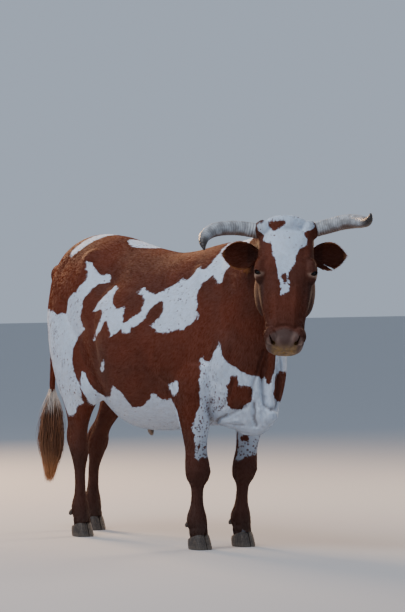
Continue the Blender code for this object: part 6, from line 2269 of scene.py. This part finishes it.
class OX_OT_hide(bpy.types.Operator):
    """Shapes the whole skin: body, neck, head, ears, legs and tail in one piece"""

    bl_idname = "ox.hide"
    bl_label = "Hide"

    def execute(self, context):
        settings = context.scene.ox
        hide = hide_form()
        hide.name = "hide"
        dressed(hide, hide_material(settings))
        flesh = nodes_named("torso", "neck", "head", "ear_", "leg_")
        finished(hide, "hide", *flesh, "tail")
        return {"FINISHED"}


class OX_OT_coat(bpy.types.Operator):
    """Grows the short coat over the skin"""

    bl_idname = "ox.coat"
    bl_label = "Coat"

    def execute(self, context):
        settings = context.scene.ox
        hide = bpy.data.objects.get("hide")
        if hide is None:
            raise RuntimeError("the coat needs the hide first")
        draw = np.random.default_rng(settings.seed)
        unwrap = unwrapped(hide)
        for piece in short_coat(hide, unwrap, draw, coat_material(settings)):
            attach(piece, ROOT)
        return {"FINISHED"}


class OX_OT_eyes(bpy.types.Operator):
    """Shapes both eyeballs"""

    bl_idname = "ox.eyes"
    bl_label = "Eyes"

    def execute(self, context):
        material = eye_material(context.scene.ox)
        for word, side in (("left", 1), ("right", -1)):
            piece = dressed(eye_form("eyeball_" + word, side), material)
            finished(piece, "eye", "eye_" + word)
        return {"FINISHED"}


class OX_OT_lashes(bpy.types.Operator):
    """Hangs the lashes on both upper lids"""

    bl_idname = "ox.lashes"
    bl_label = "Lashes"

    def execute(self, context):
        settings = context.scene.ox
        draw = np.random.default_rng(settings.seed + 2)
        dark = (0.016, 0.009, 0.007)
        material = long_hair_material("lash_hair", dark, dark, dark)
        for word, side in (("left", 1), ("right", -1)):
            piece = lashes_form(draw, side, settings.lash_count)
            piece.name = "lashes_" + word
            finished(dressed(piece, material), "hide")
        return {"FINISHED"}


class OX_OT_horns(bpy.types.Operator):
    """Shapes both horns with their rings"""

    bl_idname = "ox.horns"
    bl_label = "Horns"

    def execute(self, context):
        material = horn_material(context.scene.ox)
        for word, rows in (("left", HORN_LEFT), ("right", HORN_RIGHT)):
            piece = dressed(horn_form("ringed_horn_" + word, rows), material)
            finished(piece, "horn", "horn_" + word)
        return {"FINISHED"}


class OX_OT_hooves(bpy.types.Operator):
    """Shapes the claws and dewclaws of all four feet"""

    bl_idname = "ox.hooves"
    bl_label = "Hooves"

    def execute(self, context):
        material = hoof_material(context.scene.ox)
        for foot in FEET:
            piece = dressed(hoof_form(foot), material, math.radians(48))
            finished(piece, "hoof", *nodes_named("claw_" + foot, "dewclaw_" + foot))
        return {"FINISHED"}


class OX_OT_long_hair(bpy.types.Operator):
    """Hangs the tail's long hair and the belly's brush of hair"""

    bl_idname = "ox.long_hair"
    bl_label = "Long hair"

    def execute(self, context):
        settings = context.scene.ox
        draw = np.random.default_rng(settings.seed + 1)
        # The tail's pale orange ends are painted backlight as well.
        dark, rust, pale = (0.020, 0.009, 0.006), (0.150, 0.058, 0.024), (0.45, 0.22, 0.11)
        tail = switch_form(draw, settings.switch_strands)
        material = long_hair_material("tail_strands", dark, rust, pale, True)
        finished(dressed(tail, material), "long_hair", "tail_switch")
        brush = sheath_form(draw, settings.sheath_strands)
        dark, rust, pale = (0.26, 0.16, 0.11), (0.42, 0.30, 0.22), (0.55, 0.36, 0.22)
        material = long_hair_material("belly_strands", dark, rust, pale)
        finished(dressed(brush, material), "long_hair", "sheath_tuft")
        return {"FINISHED"}


class OX_OT_stage(bpy.types.Operator):
    """Lays the floor and sets the lights and the camera"""

    bl_idname = "ox.stage"
    bl_label = "Stage"

    def execute(self, context):
        stage_floor(context.scene.ox.floor_size)
        back, right, foot = stage_camera()
        world = bpy.data.worlds.new("pale_room")
        world.use_nodes = True
        background = world.node_tree.nodes["Background"]
        background.inputs["Color"].default_value = ROOM_COLOUR
        background.inputs["Strength"].default_value = ROOM_LIGHT
        bpy.context.scene.world = world
        middle = foot + Vector((-0.3, 0, 0.8))
        for name, (behind, beside, above), width, power, colour in LIGHTS:
            place = middle + back * behind + right * beside + Vector((0, 0, above))
            area_light(name, place, middle, width, power, colour)
        return {"FINISHED"}


class OX_PT_panel(bpy.types.Panel):
    bl_label = "Pied Nguni ox"
    bl_idname = "OX_PT_panel"
    bl_space_type = "VIEW_3D"
    bl_region_type = "UI"
    bl_category = "Ox"

    def draw(self, context):
        for name in OxSettings.__annotations__:
            self.layout.prop(context.scene.ox, name)
        for operator in OPERATORS:
            self.layout.operator(operator.bl_idname)


OPERATORS = (
    OX_OT_hide, OX_OT_coat, OX_OT_eyes, OX_OT_lashes, OX_OT_horns, OX_OT_hooves, OX_OT_long_hair, OX_OT_stage,
)
CLASSES = (OxSettings, *OPERATORS, OX_PT_panel)


def register():
    for item in CLASSES:
        bpy.utils.register_class(item)
    bpy.types.Scene.ox = bpy.props.PointerProperty(type=OxSettings)


def unregister():
    del bpy.types.Scene.ox
    for item in reversed(CLASSES):
        bpy.utils.unregister_class(item)


def main():
    register()
    bpy.ops.ox.hide()
    bpy.ops.ox.coat()
    bpy.ops.ox.eyes()
    bpy.ops.ox.lashes()
    bpy.ops.ox.horns()
    bpy.ops.ox.hooves()
    bpy.ops.ox.long_hair()
    bpy.ops.ox.stage()


if __name__ == "__main__":
    main()
